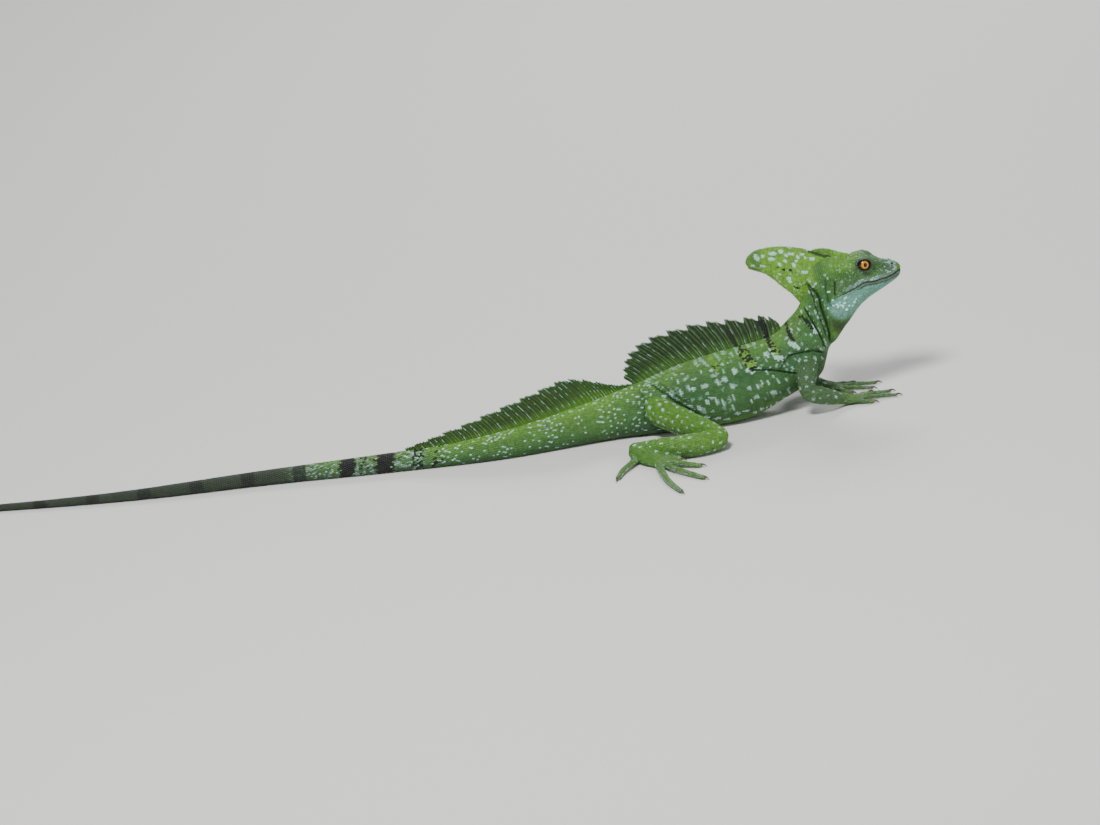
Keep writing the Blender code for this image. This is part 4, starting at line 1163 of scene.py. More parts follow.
class Wires:
    """Short ways to add and join the nodes of one shader tree."""

    def __init__(self, tree):
        self.nodes, self.links = tree.nodes, tree.links
        self.where = self.nodes.new("ShaderNodeTexCoord").outputs["Object"]

    def put(self, value, socket):
        if isinstance(value, (int, float)):
            socket.default_value = value
        elif isinstance(value, tuple):
            socket.default_value = (*value, 1.0)
        else:
            self.links.new(value, socket)

    def reading(self, attribute):
        node = self.nodes.new("ShaderNodeAttribute")
        node.attribute_name = attribute
        return node

    def channels(self, attribute):
        split = self.nodes.new("ShaderNodeSeparateColor")
        self.links.new(self.reading(attribute).outputs["Color"], split.inputs[0])
        return [split.outputs[i] for i in range(3)]

    def mix(self, factor, base, colour, blend="MIX"):
        node = self.nodes.new("ShaderNodeMix")
        node.data_type, node.blend_type = "RGBA", blend
        for value, socket in ((factor, node.inputs[0]), (base, node.inputs[6]), (colour, node.inputs[7])):
            self.put(value, socket)
        return node.outputs[2]

    def noise(self, scale, detail, stretch=None):
        node = self.nodes.new("ShaderNodeTexNoise")
        self.put(scale, node.inputs["Scale"])
        node.inputs["Detail"].default_value = detail
        source = self.where
        if stretch:
            mapping = self.nodes.new("ShaderNodeMapping")
            mapping.inputs["Scale"].default_value = stretch
            self.links.new(self.where, mapping.inputs["Vector"])
            source = mapping.outputs["Vector"]
        self.links.new(source, node.inputs["Vector"])
        return node.outputs["Fac"]

    def spread(self, value, low, high, to_low=0.0, to_high=1.0):
        node = self.nodes.new("ShaderNodeMapRange")
        for item, socket in zip((value, low, high, to_low, to_high), node.inputs):
            self.put(item, socket)
        return node.outputs["Result"]

    def times(self, a, b):
        node = self.nodes.new("ShaderNodeMath")
        node.operation = "MULTIPLY"
        self.put(a, node.inputs[0])
        self.put(b, node.inputs[1])
        return node.outputs[0]

    def ramp(self, value, stops):
        """A colour read from a value: stops are positions and colours, in order."""
        node = self.nodes.new("ShaderNodeValToRGB")
        row = node.color_ramp.elements
        row[0].position, row[1].position = stops[0][0], stops[-1][0]
        row[0].color, row[1].color = (*stops[0][1], 1), (*stops[-1][1], 1)
        for position, colour in stops[1:-1]:
            row.new(position).color = (*colour, 1)
        self.links.new(value, node.inputs["Fac"])
        return node.outputs["Color"]


def build_coat(group):
    w = Wires(group)
    inputs, outputs = w.nodes.new("NodeGroupInput").outputs, w.nodes.new("NodeGroupOutput").inputs
    dark, pale, blue = w.channels("marks")
    yellow, tail, lip = w.channels("zones")
    broad = w.spread(w.noise(34.0, 3.0), 0.35, 0.68)
    fine = w.spread(w.noise(380.0, 2.0), 0.3, 0.7)
    base = w.mix(broad, inputs["Green"], (0.09, 0.265, 0.055))
    base = w.mix(yellow, base, LIME)
    base = w.mix(lip, base, LIP_GREY)
    base = w.mix(blue, base, AQUA)
    base = w.mix(tail, base, TAIL_BROWN)
    tone = w.times(w.reading("tone").outputs["Fac"], inputs["Tone Change"])
    base = w.mix(tone, base, (0.012, 0.035, 0.008))
    base = w.mix(w.times(fine, 0.25), base, (0.03, 0.08, 0.015))
    base = w.mix(pale, base, SPOT_WHITE)
    # painted shade: each scale darkens towards its edges, where its crown is low, as if shaded between scales
    rim = w.spread(w.reading("crown").outputs["Fac"], 0.0, 0.75, 1.0, 0.0)
    base = w.mix(w.times(rim, inputs["Painted Gap Shade"]), base, w.mix(1.0, base, (0.30, 0.36, 0.30), "MULTIPLY"))
    base = w.mix(dark, base, MARK_AND_SHADE_BLACK)
    w.links.new(base, outputs["Colour"])
    w.links.new(w.spread(fine, 0.0, 1.0, 0.34, 0.52), outputs["Roughness"])
    w.links.new(w.noise(inputs["Grain Size"], 3.0), outputs["Height"])


build_coat(coat)


def new_material(name):
    """A new material, its tree and its Principled shader."""
    material = bpy.data.materials.new(name)
    material.use_nodes = True
    return material, material.node_tree, material.node_tree.nodes["Principled BSDF"]


def add_relief(tree, height, strength, distance):
    """Fine relief from a height, wired to the tree's Principled shader."""
    relief = tree.nodes.new("ShaderNodeBump")
    relief.inputs["Strength"].default_value = strength
    relief.inputs["Distance"].default_value = distance
    tree.links.new(height, relief.inputs["Height"])
    tree.links.new(relief.outputs["Normal"], tree.nodes["Principled BSDF"].inputs["Normal"])


# rim is how strongly the coat paints shade on scale edges and on bare skin
def coat_material(name, green, grain, tone, rim, bump, gloss=0.5):
    material, tree, shader = new_material(name)
    group = tree.nodes.new("ShaderNodeGroup")
    group.node_tree = coat
    group.inputs["Green"].default_value = (*green, 1)
    for socket, value in (("Grain Size", grain), ("Tone Change", tone), ("Painted Gap Shade", rim)):
        group.inputs[socket].default_value = value
    tree.links.new(group.outputs["Colour"], shader.inputs["Base Color"])
    tree.links.new(group.outputs["Roughness"], shader.inputs["Roughness"])
    add_relief(tree, group.outputs["Height"], bump, 0.0003)
    shader.inputs["Specular IOR Level"].default_value = gloss
    return material


# the skin shows between the scales; its darker green is painted shade in those gaps
skin_material = coat_material("green_skin", (0.05, 0.15, 0.04), 1400.0, 0.3, 0.55, 0.4, 0.12)
scale_material = coat_material("green_scales", (0.062, 0.195, 0.06), 1500.0, 0.5, 0.75, 0.2)
fin_scale_material = coat_material("fin_scales", (0.018, 0.090, 0.006), 1500.0, 0.4, 0.5, 0.2, 0.2)
skin.data.materials.clear()
skin.data.materials.append(skin_material)
print("coat group has", len(coat.nodes), "nodes")

# %% [markdown]
# ## Scales
# Rows of small scales cross the body like the rings of a worm, each scale keeled and lying back over the
# next. On the head they are rounder and smaller. Each kind of scale is modelled once, and Geometry Nodes
# sets a copy on every root point, turned to the skin there. A bump texture could stand in, but real scales
# catch the light at the animal's outline too.

# %% Three scale shapes
def scale_shape(name, root, rows, tip):
    """A closed scale of 20 triangles. root and tip are how far back and how high; rows are how far back, half
    width, edge height and ridge height, all in parts of the scale's length."""
    places, crown = [(root[0], 0.0, root[1])], [0.0]
    for back, half, edge, ridge in rows:
        for across in (-1.0, -0.5, 0.0, 0.5, 1.0):
            places.append((back, half * across, edge + (ridge - edge) * (1 - abs(across) ** 1.6)))
            crown.append(1 - abs(across) ** 1.6)
    places.append((tip[0], 0.0, tip[1]))
    crown.append(0.3)
    faces = []
    for c in range(4):
        faces += [(0, 1 + c, 2 + c), (1 + c, 6 + c, 7 + c, 2 + c), (6 + c, 11, 7 + c)]
    faces.append((0, 5, 10, 11, 6, 1))
    obj = mesh_object(name, np.array(places), faces)
    face_outwards(obj)
    store_vector(obj.data, "patch", np.array(places) * (1, 1, 0))
    store_value(obj.data, "crown", crown)
    return obj


keeled_scale = scale_shape(
    "keeled_scale", (-0.55, -0.14), [(-0.20, 0.48, -0.06, 0.15), (0.30, 0.40, -0.01, 0.27)], (0.70, 0.10))
round_scale = scale_shape(
    "round_scale", (-0.52, -0.12), [(-0.23, 0.45, -0.08, 0.24), (0.23, 0.45, -0.08, 0.24)], (0.52, -0.08))
lip_plate = scale_shape(
    "lip_plate", (-0.52, -0.10), [(-0.40, 0.46, -0.08, 0.20), (0.40, 0.46, -0.08, 0.20)], (0.52, -0.08))
print("each scale has", triangles_in(keeled_scale.data), "triangles")

# %% The Geometry Nodes tree that sets scales on roots
def set_scales_tree():
    """Copies of a scale stand on the roots, each turned, sized and mapped by its root's attributes."""
    tree = new_tree(
        "set_scales", "GeometryNodeTree",
        [("Roots", "Geometry", None), ("Scale Shape", "Object", None), ("Overall Size", "Float", 1.0),
         ("Size Change", "Float", 0.08), ("Seed", "Int", 3), ("Finish", "Material", None)],
        [("Coat", "Geometry")])
    nodes, links = tree.nodes, tree.links
    start, end = nodes.new("NodeGroupInput"), nodes.new("NodeGroupOutput")

    def add(kind, wires=(), **settings):
        """A node with its settings made. wires are pairs of an input and the output or number it takes."""
        node = nodes.new(kind)
        for key, value in settings.items():
            setattr(node, key, value)
        for key, source in wires:
            if isinstance(source, (int, float, str)):
                node.inputs[key].default_value = source
            else:
                links.new(source, node.inputs[key])
        return node

    def named(name):
        reading = add("GeometryNodeInputNamedAttribute", [("Name", name)], data_type="FLOAT_VECTOR")
        return reading.outputs["Attribute"]

    def enabled(sockets, *names):
        return [s for s in sockets if s.enabled and (not names or s.name in names)]

    # each copy stands along facing, then turns about that to lie back along lie
    stand = add("FunctionNodeAlignRotationToVector", [("Vector", named("facing"))], axis="Z")
    lie = add("FunctionNodeAlignRotationToVector",
              [("Rotation", stand.outputs["Rotation"]), ("Vector", named("lie"))], axis="X", pivot_axis="Z")
    # its size varies a little about the root's own
    change = add("FunctionNodeRandomValue", [("Seed", start.outputs["Seed"])], data_type="FLOAT")
    for operation, socket in zip(("SUBTRACT", "ADD"), enabled(change.inputs, "Min", "Max")):
        bound = add("ShaderNodeMath", [(0, 1.0), (1, start.outputs["Size Change"])], operation=operation)
        links.new(bound.outputs[0], socket)
    varied = add("ShaderNodeMath", [(0, enabled(change.outputs)[0]), (1, start.outputs["Overall Size"])],
                 operation="MULTIPLY")
    size = add("ShaderNodeVectorMath", [(0, named("size")), ("Scale", varied.outputs[0])], operation="SCALE")
    shape = add("GeometryNodeObjectInfo", [("Object", start.outputs["Scale Shape"])])
    copies = add("GeometryNodeInstanceOnPoints", [
        ("Points", start.outputs["Roots"]), ("Instance", shape.outputs["Geometry"]),
        ("Rotation", lie.outputs["Rotation"]), ("Scale", size.outputs["Vector"])])
    real = add("GeometryNodeRealizeInstances", [("Geometry", copies.outputs["Instances"])])
    # the map for baking: each scale is a tiny patch at its root's own place
    spread = add("ShaderNodeVectorMath", [(0, named("patch")), ("Scale", 0.0025)], operation="SCALE")
    seat = add("ShaderNodeVectorMath", [(0, spread.outputs["Vector"]), (1, named("root_uv"))],
               operation="ADD")
    bake_map = add("GeometryNodeStoreNamedAttribute",
                   [("Name", "OFBake"), ("Geometry", real.outputs["Geometry"])], data_type="FLOAT2",
                   domain="CORNER")
    links.new(seat.outputs["Vector"], enabled(bake_map.inputs, "Value")[0])
    finish = add("GeometryNodeSetMaterial",
                 [("Geometry", bake_map.outputs["Geometry"]), ("Material", start.outputs["Finish"])])
    links.new(finish.outputs["Geometry"], end.inputs["Coat"])
    return tree


scales_tree = set_scales_tree()


def set_scales(name, roots, shape, finish, change, seed):
    """Sets scales on roots: a dict of place, facing, lie, size, marks, zones and root_uv arrays."""
    count = len(roots["place"])
    mesh = bpy.data.meshes.new(name)
    mesh.vertices.add(count)
    mesh.vertices.foreach_set("co", (roots["place"] * MM).ravel())
    for key in ("facing", "lie", "size", "root_uv"):
        store_vector(mesh, key, roots[key])
    store_marks(mesh, roots["marks"], roots["zones"])
    store_value(mesh, "tone", rng.random(count))
    obj = bpy.data.objects.new(name, mesh)
    bpy.context.scene.collection.objects.link(obj)
    step = obj.modifiers.new("scales", "NODES")
    step.node_group = scales_tree
    values = {"Scale Shape": shape, "Size Change": change, "Seed": seed, "Finish": finish}
    for item in scales_tree.interface.items_tree:
        if item.item_type == "SOCKET" and item.in_out == "INPUT" and item.name in values:
            step[item.identifier] = values[item.name]
    graph = bpy.context.evaluated_depsgraph_get()
    graph.update()
    made = bpy.data.meshes.new_from_object(obj.evaluated_get(graph))
    obj.modifiers.remove(step)
    obj.data = made
    for extra in ("facing", "lie", "size", "root_uv", "patch"):
        if extra in made.attributes:
            made.attributes.remove(made.attributes[extra])
    if not made.materials:
        made.materials.append(finish)
    made.shade_smooth()
    print(f"{name}: {count} scales, {triangles_in(made)} triangles")
    return obj


# %% [markdown]
# The roots are laid in rings round the body and the limbs. Each ring's spacing follows the size of the
# scales there, and every other ring is shifted by half a scale. Each root is then moved onto the skin. A
# root that finds no skin close by lies inside another part of the animal, and is dropped.

# %% Lay the roots
# a root is a row: place 0:3, normal 3:6, backward 6:9, share along 9, share round 10, pitch 11, part 12
PARTS = ["body", "limb", "digit"]


def on_loop(row, reach, at):
    """Places round a closed row of points, where reach says how far round each point is."""
    loop = np.vstack([row, row[:1]])
    return np.stack([np.interp(at, reach, loop[:, c]) for c in range(3)], axis=1)


def ring_roots(rows, pitch_at, across=0.94):
    """Roots on rings through a grid of closed rows, spaced by pitch_at(centre)."""
    travel = travelled(rows.mean(axis=1))
    found, s, k = [], 0.0, 0
    while s < travel[-1]:
        i = min(int(np.searchsorted(travel, s, side="right")) - 1, len(rows) - 2)
        f = (s - travel[i]) / max(travel[i + 1] - travel[i], 1e-9)
        ring = rows[i] * (1 - f) + rows[i + 1] * f
        reach = travelled(np.vstack([ring, ring[:1]]))
        pitch = pitch_at(ring.mean(axis=0))
        count = max(5, int(round(reach[-1] / (pitch * across))))
        at = (np.arange(count) + 0.5 * (k % 2)) / count * reach[-1]
        back = unit(on_loop(rows[i + 1], reach, at) - on_loop(rows[i], reach, at))
        found.append(columns(on_loop(ring, reach, at), back, s / travel[-1], at / reach[-1], pitch))
        s += pitch
        k += 1
    return np.vstack(found)


def seat_roots(found, reach, part):
    """Moves roots onto the skin, and drops those that lie inside another part of the animal."""
    kept = []
    for row in found:
        place, normal, _, gap = skin_tree.find_nearest(Vector(row[:3]))
        if place is not None and gap < reach:
            kept.append((*place, *normal, *row[3:9], part))
    return np.array(kept)


def thinned(rows, others, share=0.62):
    """Drops roots that crowd those of other parts."""
    if others:
        tree = tree_on(np.vstack(others)[:, :3])
        rows = rows[[tree.find(row[:3])[2] > share * row[11] for row in rows]]
    return rows


def body_pitch(place):
    """Spacing of the scale rows on the body: fine on the head, widest on the tail."""
    x, _, z = place
    if x > 100 and z > 60:
        return 1.08
    return float(np.interp(x, [-600, -350, -200, -50, 60], [1.3, 1.6, 1.45, 1.34, 1.26]))


RING = full_turn(160)
HEAD_END = NECK_RIB - 0.9
laid = []
for first, last, reach in ((HEAD_END, LAST_RIB - 0.02, 2.4), (0.0, HEAD_END, 5.5)):
    steps = np.linspace(first, last, int((last - first) * 14))
    grid = np.stack([body_surface(np.full(len(RING), t), RING) for t in steps])
    rows = seat_roots(ring_roots(grid, body_pitch), reach, PARTS.index("body"))
    laid.append(thinned(rows, laid))
for name, path in list(limbs.items()) + list(digits.items()):
    thin = name in digits
    grid = limb_surface(path, 60, 48, limb_up(name))
    pitch = 0.98 if thin else 1.2 if "foot" in name else 1.28
    part = PARTS.index("digit" if thin else "limb")
    rows = seat_roots(ring_roots(grid[3:-1], lambda c: pitch), 0.9 if thin else 1.5, part)
    laid.append(thinned(rows, laid, 0.6))
roots = np.vstack(laid)
print(len(roots), "roots laid in rings")

# %% Fill the bare places and clear those of lids and lips
lie_tree = tree_on(roots[:, :3])
added = []
for place, normal in zip(places_of(skin.data), normals_of(skin.data)):
    _, index, gap = lie_tree.find(place)
    like = roots[index]
    pitch = like[11]
    if 0.86 * pitch < gap < 9 and place[2] > 0.3:
        if all(np.linalg.norm(place - other[:3]) > 0.84 * pitch for other in added[-260:]):
            shares = like[9:11] + rng.uniform(-0.006, 0.006, 2)
            added.append(np.concatenate([place, normal, like[6:9], shares, like[11:]]))
added = np.array(added)
keep, fill_tree = [], tree_on(added[:, :3])
for k, row in enumerate(added):
    close = fill_tree.find_range(row[:3], 0.8 * row[11])
    if not any(other < k and other in keep[-400:] for _, other, _ in close):
        keep.append(k)
roots = np.vstack([roots, added[keep]])
print(len(keep), "roots added where the rings left the skin bare")

flat = side_view(roots[:, :3])
on_head = (roots[:, 0] > 99) & (roots[:, 2] > 48)
clear = np.ones(len(roots), bool)
for tag, (centre, gaze, ahead, above) in eyes.items():
    off = roots[:, :3] - centre
    a, b = off @ ahead / OPENING[0], off @ above / OPENING[1]
    reach = np.interp(np.arctan2(b, a) % (2 * np.pi), LID_ANGLES, lid_reach[tag], period=2 * np.pi)
    clear &= ~((np.hypot(a, b) < 1 + (reach - 1) * 0.78) & (off @ gaze > -1))
gap, share, hand = along_line(flat, MOUTH)
LIP_SHARE = (0.03, 0.84)
lips = on_head & (share > LIP_SHARE[0]) & (share < LIP_SHARE[1])
clear &= ~(lips & (gap < np.where(hand > 0, 2.2, 2.0) * smooth_step(0.95, 0.62, share)))
clear &= ~(on_head & (gap < 0.4) & (share < 0.93))
clear &= ~(on_head & (np.linalg.norm(flat - NOSTRIL, axis=1) < 0.85))
roots = roots[clear]
print(len(roots), "roots in all")

# %% Set the scales
def dressed_roots(rows, length, width, height, marks, zones, jitter=0.0):
    """The dict of root arrays that set_scales needs, with sizes in parts of each root's pitch."""
    normal, back = rows[:, 3:6], rows[:, 6:9]
    lie = back - (back * normal).sum(axis=1)[:, None] * normal
    lie += rng.normal(0, 0.12, lie.shape) * jitter
    parts = [np.broadcast_to(value, len(rows)) for value in (length, width, height)]
    size = rows[:, 11:12] * np.stack(parts, axis=1)
    flat_place = np.clip(0.01 + 0.98 * rows[:, 9:11], 0.003, 0.997)
    return {"place": rows[:, :3], "facing": normal, "lie": unit(lie), "size": size, "marks": marks,
            "zones": zones, "root_uv": columns(flat_place, 0)}


marks, zones = plain_marks(len(roots))
for number, part in enumerate(PARTS):
    chosen = roots[:, 12] == number
    marks[chosen], zones[chosen] = coat_marks(roots[chosen, :3], part)
along, around = body_coordinates(roots[:, :3])
left = roots[:, 1] > sway_y(roots[:, 0])
is_body = roots[:, 12] == 0
# each round dot of the tail colours the scale that lies nearest, and a big one two
for half in (left, ~left):
    rows_here = np.flatnonzero(is_body & half & (along < -22) & (along > -216) & (marks[:, 0] < 0.5))
    unrolled = columns(along[rows_here], around[rows_here] * girth_at(along[rows_here]), 0)
    unrolled_tree = tree_on(unrolled)
    for dot_a, dot_r, strength in TAIL_DOTS:
        for rank, (_, index, gap) in enumerate(unrolled_tree.find_n((dot_a, dot_r, 0), 2)):
            if gap < (1.3 if rank == 0 else 1.15 * strength):
                row = rows_here[index]
                marks[row, 1] = max(marks[row, 1], strength * (1.0 if rank == 0 else 0.75))
pieces_of_coat = {
    "scales_head": is_body & (roots[:, 0] > 98) & (roots[:, 2] > 50),
    "scales_tail_rear": is_body & (along < -230),
    "scales_tail_front": is_body & (along >= -230) & (along < -44),
    "scales_trunk_rear": is_body & (along >= -44) & (along < 22),
    "scales_trunk_front": is_body & (along >= 22) & (along < 78),
}
pieces_of_coat["scales_neck"] = is_body & ~np.any(list(pieces_of_coat.values()), axis=0)
for tag, half in (("right", ~left), ("left", left)):
    pieces_of_coat[f"scales_{tag}_hind_leg"] = ~is_body & half & (roots[:, 0] < 45)
    pieces_of_coat[f"scales_{tag}_fore_leg"] = ~is_body & half & (roots[:, 0] >= 45)
for name, chosen in pieces_of_coat.items():
    rows = roots[chosen]
    if name == "scales_head":
        shape, sizes = round_scale, (1.2, 1.13, 0.85)
        bumpy = 1 + 0.55 * (marks[chosen, 1] > 0.98)
    else:
        shape, sizes, bumpy = keeled_scale, (1.32, 1.04, 0.95), 1.0
    flat_below = np.where((rows[:, 2] < 0.8) & (rows[:, 5] < -0.3), 0.2, 1.0)
    length, width, height = sizes[0] * bumpy, sizes[1] * bumpy, sizes[2] * bumpy * flat_below
    dressed = dressed_roots(rows, length, width, height, marks[chosen], zones[chosen])
    piece = set_scales(name, dressed, shape, scale_material, 0.1, 5)
    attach(piece, "root")

# %% Fringes of the hind toes
fringe = []
for name, path in digits.items():
    if not name.endswith("_toe") or "first" in name:
        continue
    grid = limb_surface(path, 60, 48)[6:-7]
    centres = grid.mean(axis=1)
    travel = travelled(centres)
    for s in np.arange(1.5, travel[-1], 1.05):
        i = min(int(np.searchsorted(travel, s)), len(centres) - 2)
        onward = centres[i + 1] - centres[i]
        onward /= np.linalg.norm(onward)
        across = np.cross(onward, (0, 0, 1))
        across /= np.linalg.norm(across)
        reach = np.abs((grid[i] - centres[i]) @ across).max()
        for side in (-1, 1):
            way = across * side + onward * 0.35
            place = centres[i] + across * side * (reach + 0.15) - (0, 0, 0.15)
            round_share = (0.25 if side < 0 else 0.75) + 0.2 * name.startswith("left")
            fringe.append((*place, 0, 0, 1, *way, s / travel[-1], round_share, 1.05, PARTS.index("digit")))
fringe = np.array(fringe)
fringe_marks, fringe_zones = coat_marks(fringe[:, :3], "digit")
fringe_marks[:, 0] = 0.45 * (rng.random(len(fringe)) > 0.7)
fringe_marks[:, 1] = 0.5 * (rng.random(len(fringe)) > 0.45)
fringe_zones[:, 0] = 0.7
dressed = dressed_roots(fringe, 1.0, 1.25, 0.6, fringe_marks, fringe_zones)
piece = set_scales("toe_fringes", dressed, round_scale, scale_material, 0.15, 9)
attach(piece, "root")

# %% The skin takes the marks of the scales that lie on it
root_tree = tree_on(roots[:, :3])
skin_places = places_of(skin.data)
nearest = np.array([root_tree.find(place)[1] for place in skin_places])
skin_marks, skin_zones = marks[nearest].copy(), zones[nearest].copy()
head_part = (skin_places[:, 0] > 98) & (skin_places[:, 2] > 48)
skin_marks[head_part], skin_zones[head_part] = coat_marks(skin_places[head_part], "body")
skin_marks[:, 1] *= 0.7
# a low crown gives the bare skin the coat's painted gap shade
store_coat(skin.data, skin_marks, skin_zones, 0.4, 0.25)
print("the skin carries the marks of", len(roots), "scales")

# %% [markdown]
# The lips are edged with plates, one row above the mouth and one below it. They are far larger than the
# scales beside them, so they get a shape of their own and roots along the line of the mouth. A ray cast in
# the side view finds each place on the skin, and the other side is its mirror image.

# %% Plates along the lips
VIEW_UP = np.array([0.0, math.sin(VIEW_DOWN), math.cos(VIEW_DOWN)])
VIEW_IN = np.array([0.0, math.cos(VIEW_DOWN), -math.sin(VIEW_DOWN)])
WELL_OUTSIDE = 300  # how far before the animal the rays start


def on_side(x, up_v, side):
    """Place and normal of the skin at a side-view place, on the right side or mirrored on the left."""
    start = np.array([x, 0, 0]) + VIEW_UP * up_v - VIEW_IN * WELL_OUTSIDE
    place, normal, _, _ = skin_tree.ray_cast(Vector(start), Vector(VIEW_IN))
    if place is not None and side > 0:
        place[1] = 2 * middle_y(place[0]) - place[1]
        place, normal, _, _ = skin_tree.find_nearest(place)
    return None if place is None else (np.array(place), np.array(normal))


mouth = np.array(MOUTH)
mouth_lengths = travelled(mouth)
mouth_end = mouth_lengths[-1]
lip_rows, lip_below = [], []
for below, plate_length, offset in ((False, 2.15, 1.15), (True, 2.35, -1.25)):
    for at in np.arange(LIP_SHARE[0] * mouth_end + 0.6, LIP_SHARE[1] * mouth_end, plate_length):
        middle, onward = (np.array([np.interp(s, mouth_lengths, mouth[:, c]) for c in range(2)])
                          for s in (at, at + 0.5))
        run = (onward - middle) / np.linalg.norm(onward - middle)
        narrow = smooth_step(0.95, 0.62, at / mouth_end)
        x, up_v = middle + np.array([run[1], -run[0]]) * offset * narrow
        for side in (-1, 1):
            found = on_side(x, up_v, side)
            if found is None:
                continue
            place, normal = found
            run_3d = np.array([run[0], 0, run[1] / math.cos(VIEW_DOWN)])
            round_share = 0.5 + side * (0.2 + 0.1 * below)
            lip_rows.append([*place, *normal, *run_3d, at / mouth_end, round_share, plate_length, narrow])
            lip_below.append(below)
lip_rows, lip_below = np.array(lip_rows), np.array(lip_below)
lip_marks, lip_zones = coat_marks(lip_rows[:, :3], "body")
lip_marks[:, 0] = np.where(lip_below, 0.34, 0.18)
# the upper plates' random pale flecks are painted highlight, partly pale scales
lip_marks[:, 1] = np.where(lip_below, 0.05, 0.1 + 0.75 * rng.random(len(lip_rows)) ** 3)
lip_marks[:, 2] *= ~lip_below
lip_zones[:, 2] = 0.85
plate_widths = np.where(lip_below, 0.74, 0.78) * lip_rows[:, 12]
dressed = dressed_roots(lip_rows, 1.02, plate_widths, 0.26, lip_marks, lip_zones)
plates_piece = set_scales("lip_plates", dressed, lip_plate, scale_material, 0.05, 4)
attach(plates_piece, "root")

# %% [markdown]
# ## The finish of the fins
# The membrane is darkest near the free edge and greener at the root. Beside each ray it is dark, partly its
# own colour and partly painted shade of its pleats, and greener midway between rays. The rays are paler,
# and dark bars cross the back fin where the bars of the shoulder run on into it.

# %% The fins' finish
def fin_material(name, dark, middle, ray, tip, root):
    """Membrane dark beside the rays, partly as painted shade of its pleats, with a greener band between the
    rays, pale rays, and tints at the edge and the root.
    """
    material, tree, shader = new_material(name)
    w = Wires(tree)
    off, up_fin = w.reading("off_ray").outputs["Fac"], w.reading("up_fin").outputs["Fac"]
    mottle = w.noise(300.0, 4.0)
    fibres = w.noise(500.0, 3.0, (1.0, 1.0, 0.25))
    band = w.times(w.spread(off, 0.55, 0.85), w.spread(mottle, 0.3, 0.6))
    colour = w.mix(band, dark, middle)
    colour = w.mix(w.times(w.spread(up_fin, 0.42, 0.08), 0.75), colour, root)
    colour = w.mix(w.times(w.spread(off, 0.26, 0.08), w.spread(fibres, 0.25, 0.6)), colour, ray)
    colour = w.mix(w.times(w.spread(up_fin, 0.955, 0.995), 0.8), colour, tip)
    colour = w.mix(w.reading("bar").outputs["Fac"], colour, MARK_AND_SHADE_BLACK)
    w.links.new(colour, shader.inputs["Base Color"])
    add_relief(tree, fibres, 0.5, 0.0004)
    shader.inputs["Roughness"].default_value = 0.5
    return material


# where the shoulder's bars run on into the sail: a line in the side view, half its width, its strength
SAIL_BARS = [
    ([(55.6, 50), (54.6, 58), (52.6, 64.5)], 1.7, 1.0), ([(51.4, 62), (50.0, 68)], 1.1, 0.8),
    ([(33.8, 48), (31.0, 56), (28.4, 61)], 1.3, 0.85), ([(13.6, 44), (10.4, 51)], 0.8, 0.6),
    ([(27.5, 63), (25.6, 68)], 0.8, 0.6),
]


def bar_strength(places):
    flat = side_view(places)
    dark = np.zeros(len(places))
    uneven = 0.5 * np.sin(flat[:, 0] * 1.7 + flat[:, 1] * 1.1) + 0.5 * np.sin(flat[:, 1] * 2.1)
    for line, width, strength in SAIL_BARS:
        gap, _, _ = along_line(flat, line)
        dark = np.maximum(dark, strength * (gap + uneven * 0.55 < width))
    return dark


for obj in (sail, tail_fin):
    store_value(obj.data, "bar", bar_strength(places_of(obj.data)))
sail.data.materials.append(fin_material(
    "sail_membrane", dark=(0.004, 0.010, 0.003), middle=(0.014, 0.043, 0.006), ray=(0.082, 0.15, 0.066),
    tip=(0.34, 0.44, 0.34), root=(0.04, 0.12, 0.015)))
tail_fin.data.materials.append(fin_material(
    "tail_fin_membrane", dark=(0.008, 0.024, 0.004), middle=(0.024, 0.066, 0.006), ray=(0.065, 0.15, 0.015),
    tip=(0.28, 0.42, 0.32), root=(0.085, 0.22, 0.012)))

# %% [markdown]
# Small scales run in rows up each ray, pale on the back's fin and blue-green on the tail's. They come from
# the same tree as the body's scales, with roots along the rays on both faces of the fin.

# %% Scales on the fins
def fin_roots(fin, pitch, columns_per_ray):
    """Roots in rows up both faces of a fin, and notes: how far off a ray each is, its ray, its number in the
    row."""
    rays = FINS[fin][1]
    found, notes = [], []
    for k, u in enumerate(np.arange(0.2, rays - 1, 1.0 / columns_per_ray)):
        root, along, reach = fin_column(fin, np.array([u]))
        count = int(reach[0] / pitch)
        for row in range(count):
            share = (row + 0.35 + 0.5 * (k % 2)) / count
            if share > 0.985:
                continue
            s = (FIN_SINK + reach[0] * share) / (FIN_SINK + reach[0])
            pleat, half = fin_section(u, s)
            bow = -2.2 * math.sin(s * math.pi) * min(1, reach[0] / 14) * 0.35
            rise = along[0] * (FIN_SINK + reach[0]) * s
            x, z = root[0] + rise + np.array([-along[0][1], along[0][0]]) * bow
            for side in (-1, 1):
                lateral = np.array([pleat + side * (half - 0.04)])
                place = bent(np.array([x]), lateral, np.array([z]))[0]
                round_share = (u / rays + (side > 0)) / 2
                found.append((*place, 0, side, 0, along[0][0], 0, along[0][1], round_share, share, pitch, 0))
                notes.append((off_ray(u), math.floor(u + RAY_PHASE + 0.5), row))
    return np.array(found), np.array(notes)


def edge_roots(fin, pitch):
    """Roots along the free edge of a fin."""
    rays = FINS[fin][1]
    u = np.linspace(0.3, rays - 1.2, 4000)
    root, along, reach = fin_column(fin, u)
    place = root + along * (FIN_SINK + reach - 0.12)[:, None]
    travel = travelled(place)
    pick = np.searchsorted(travel, np.arange(0, travel[-1], pitch))
    pick = pick[pick < len(u)]
    places = bent(place[pick, 0], fin_section(u[pick], 1.0)[0], place[pick, 1])
    back = np.tile((-1.0, 0, 0.2), (len(pick), 1))
    return columns(places, along[pick, 0], 0, along[pick, 1], back, 0.5, u[pick] / rays, pitch, 0)


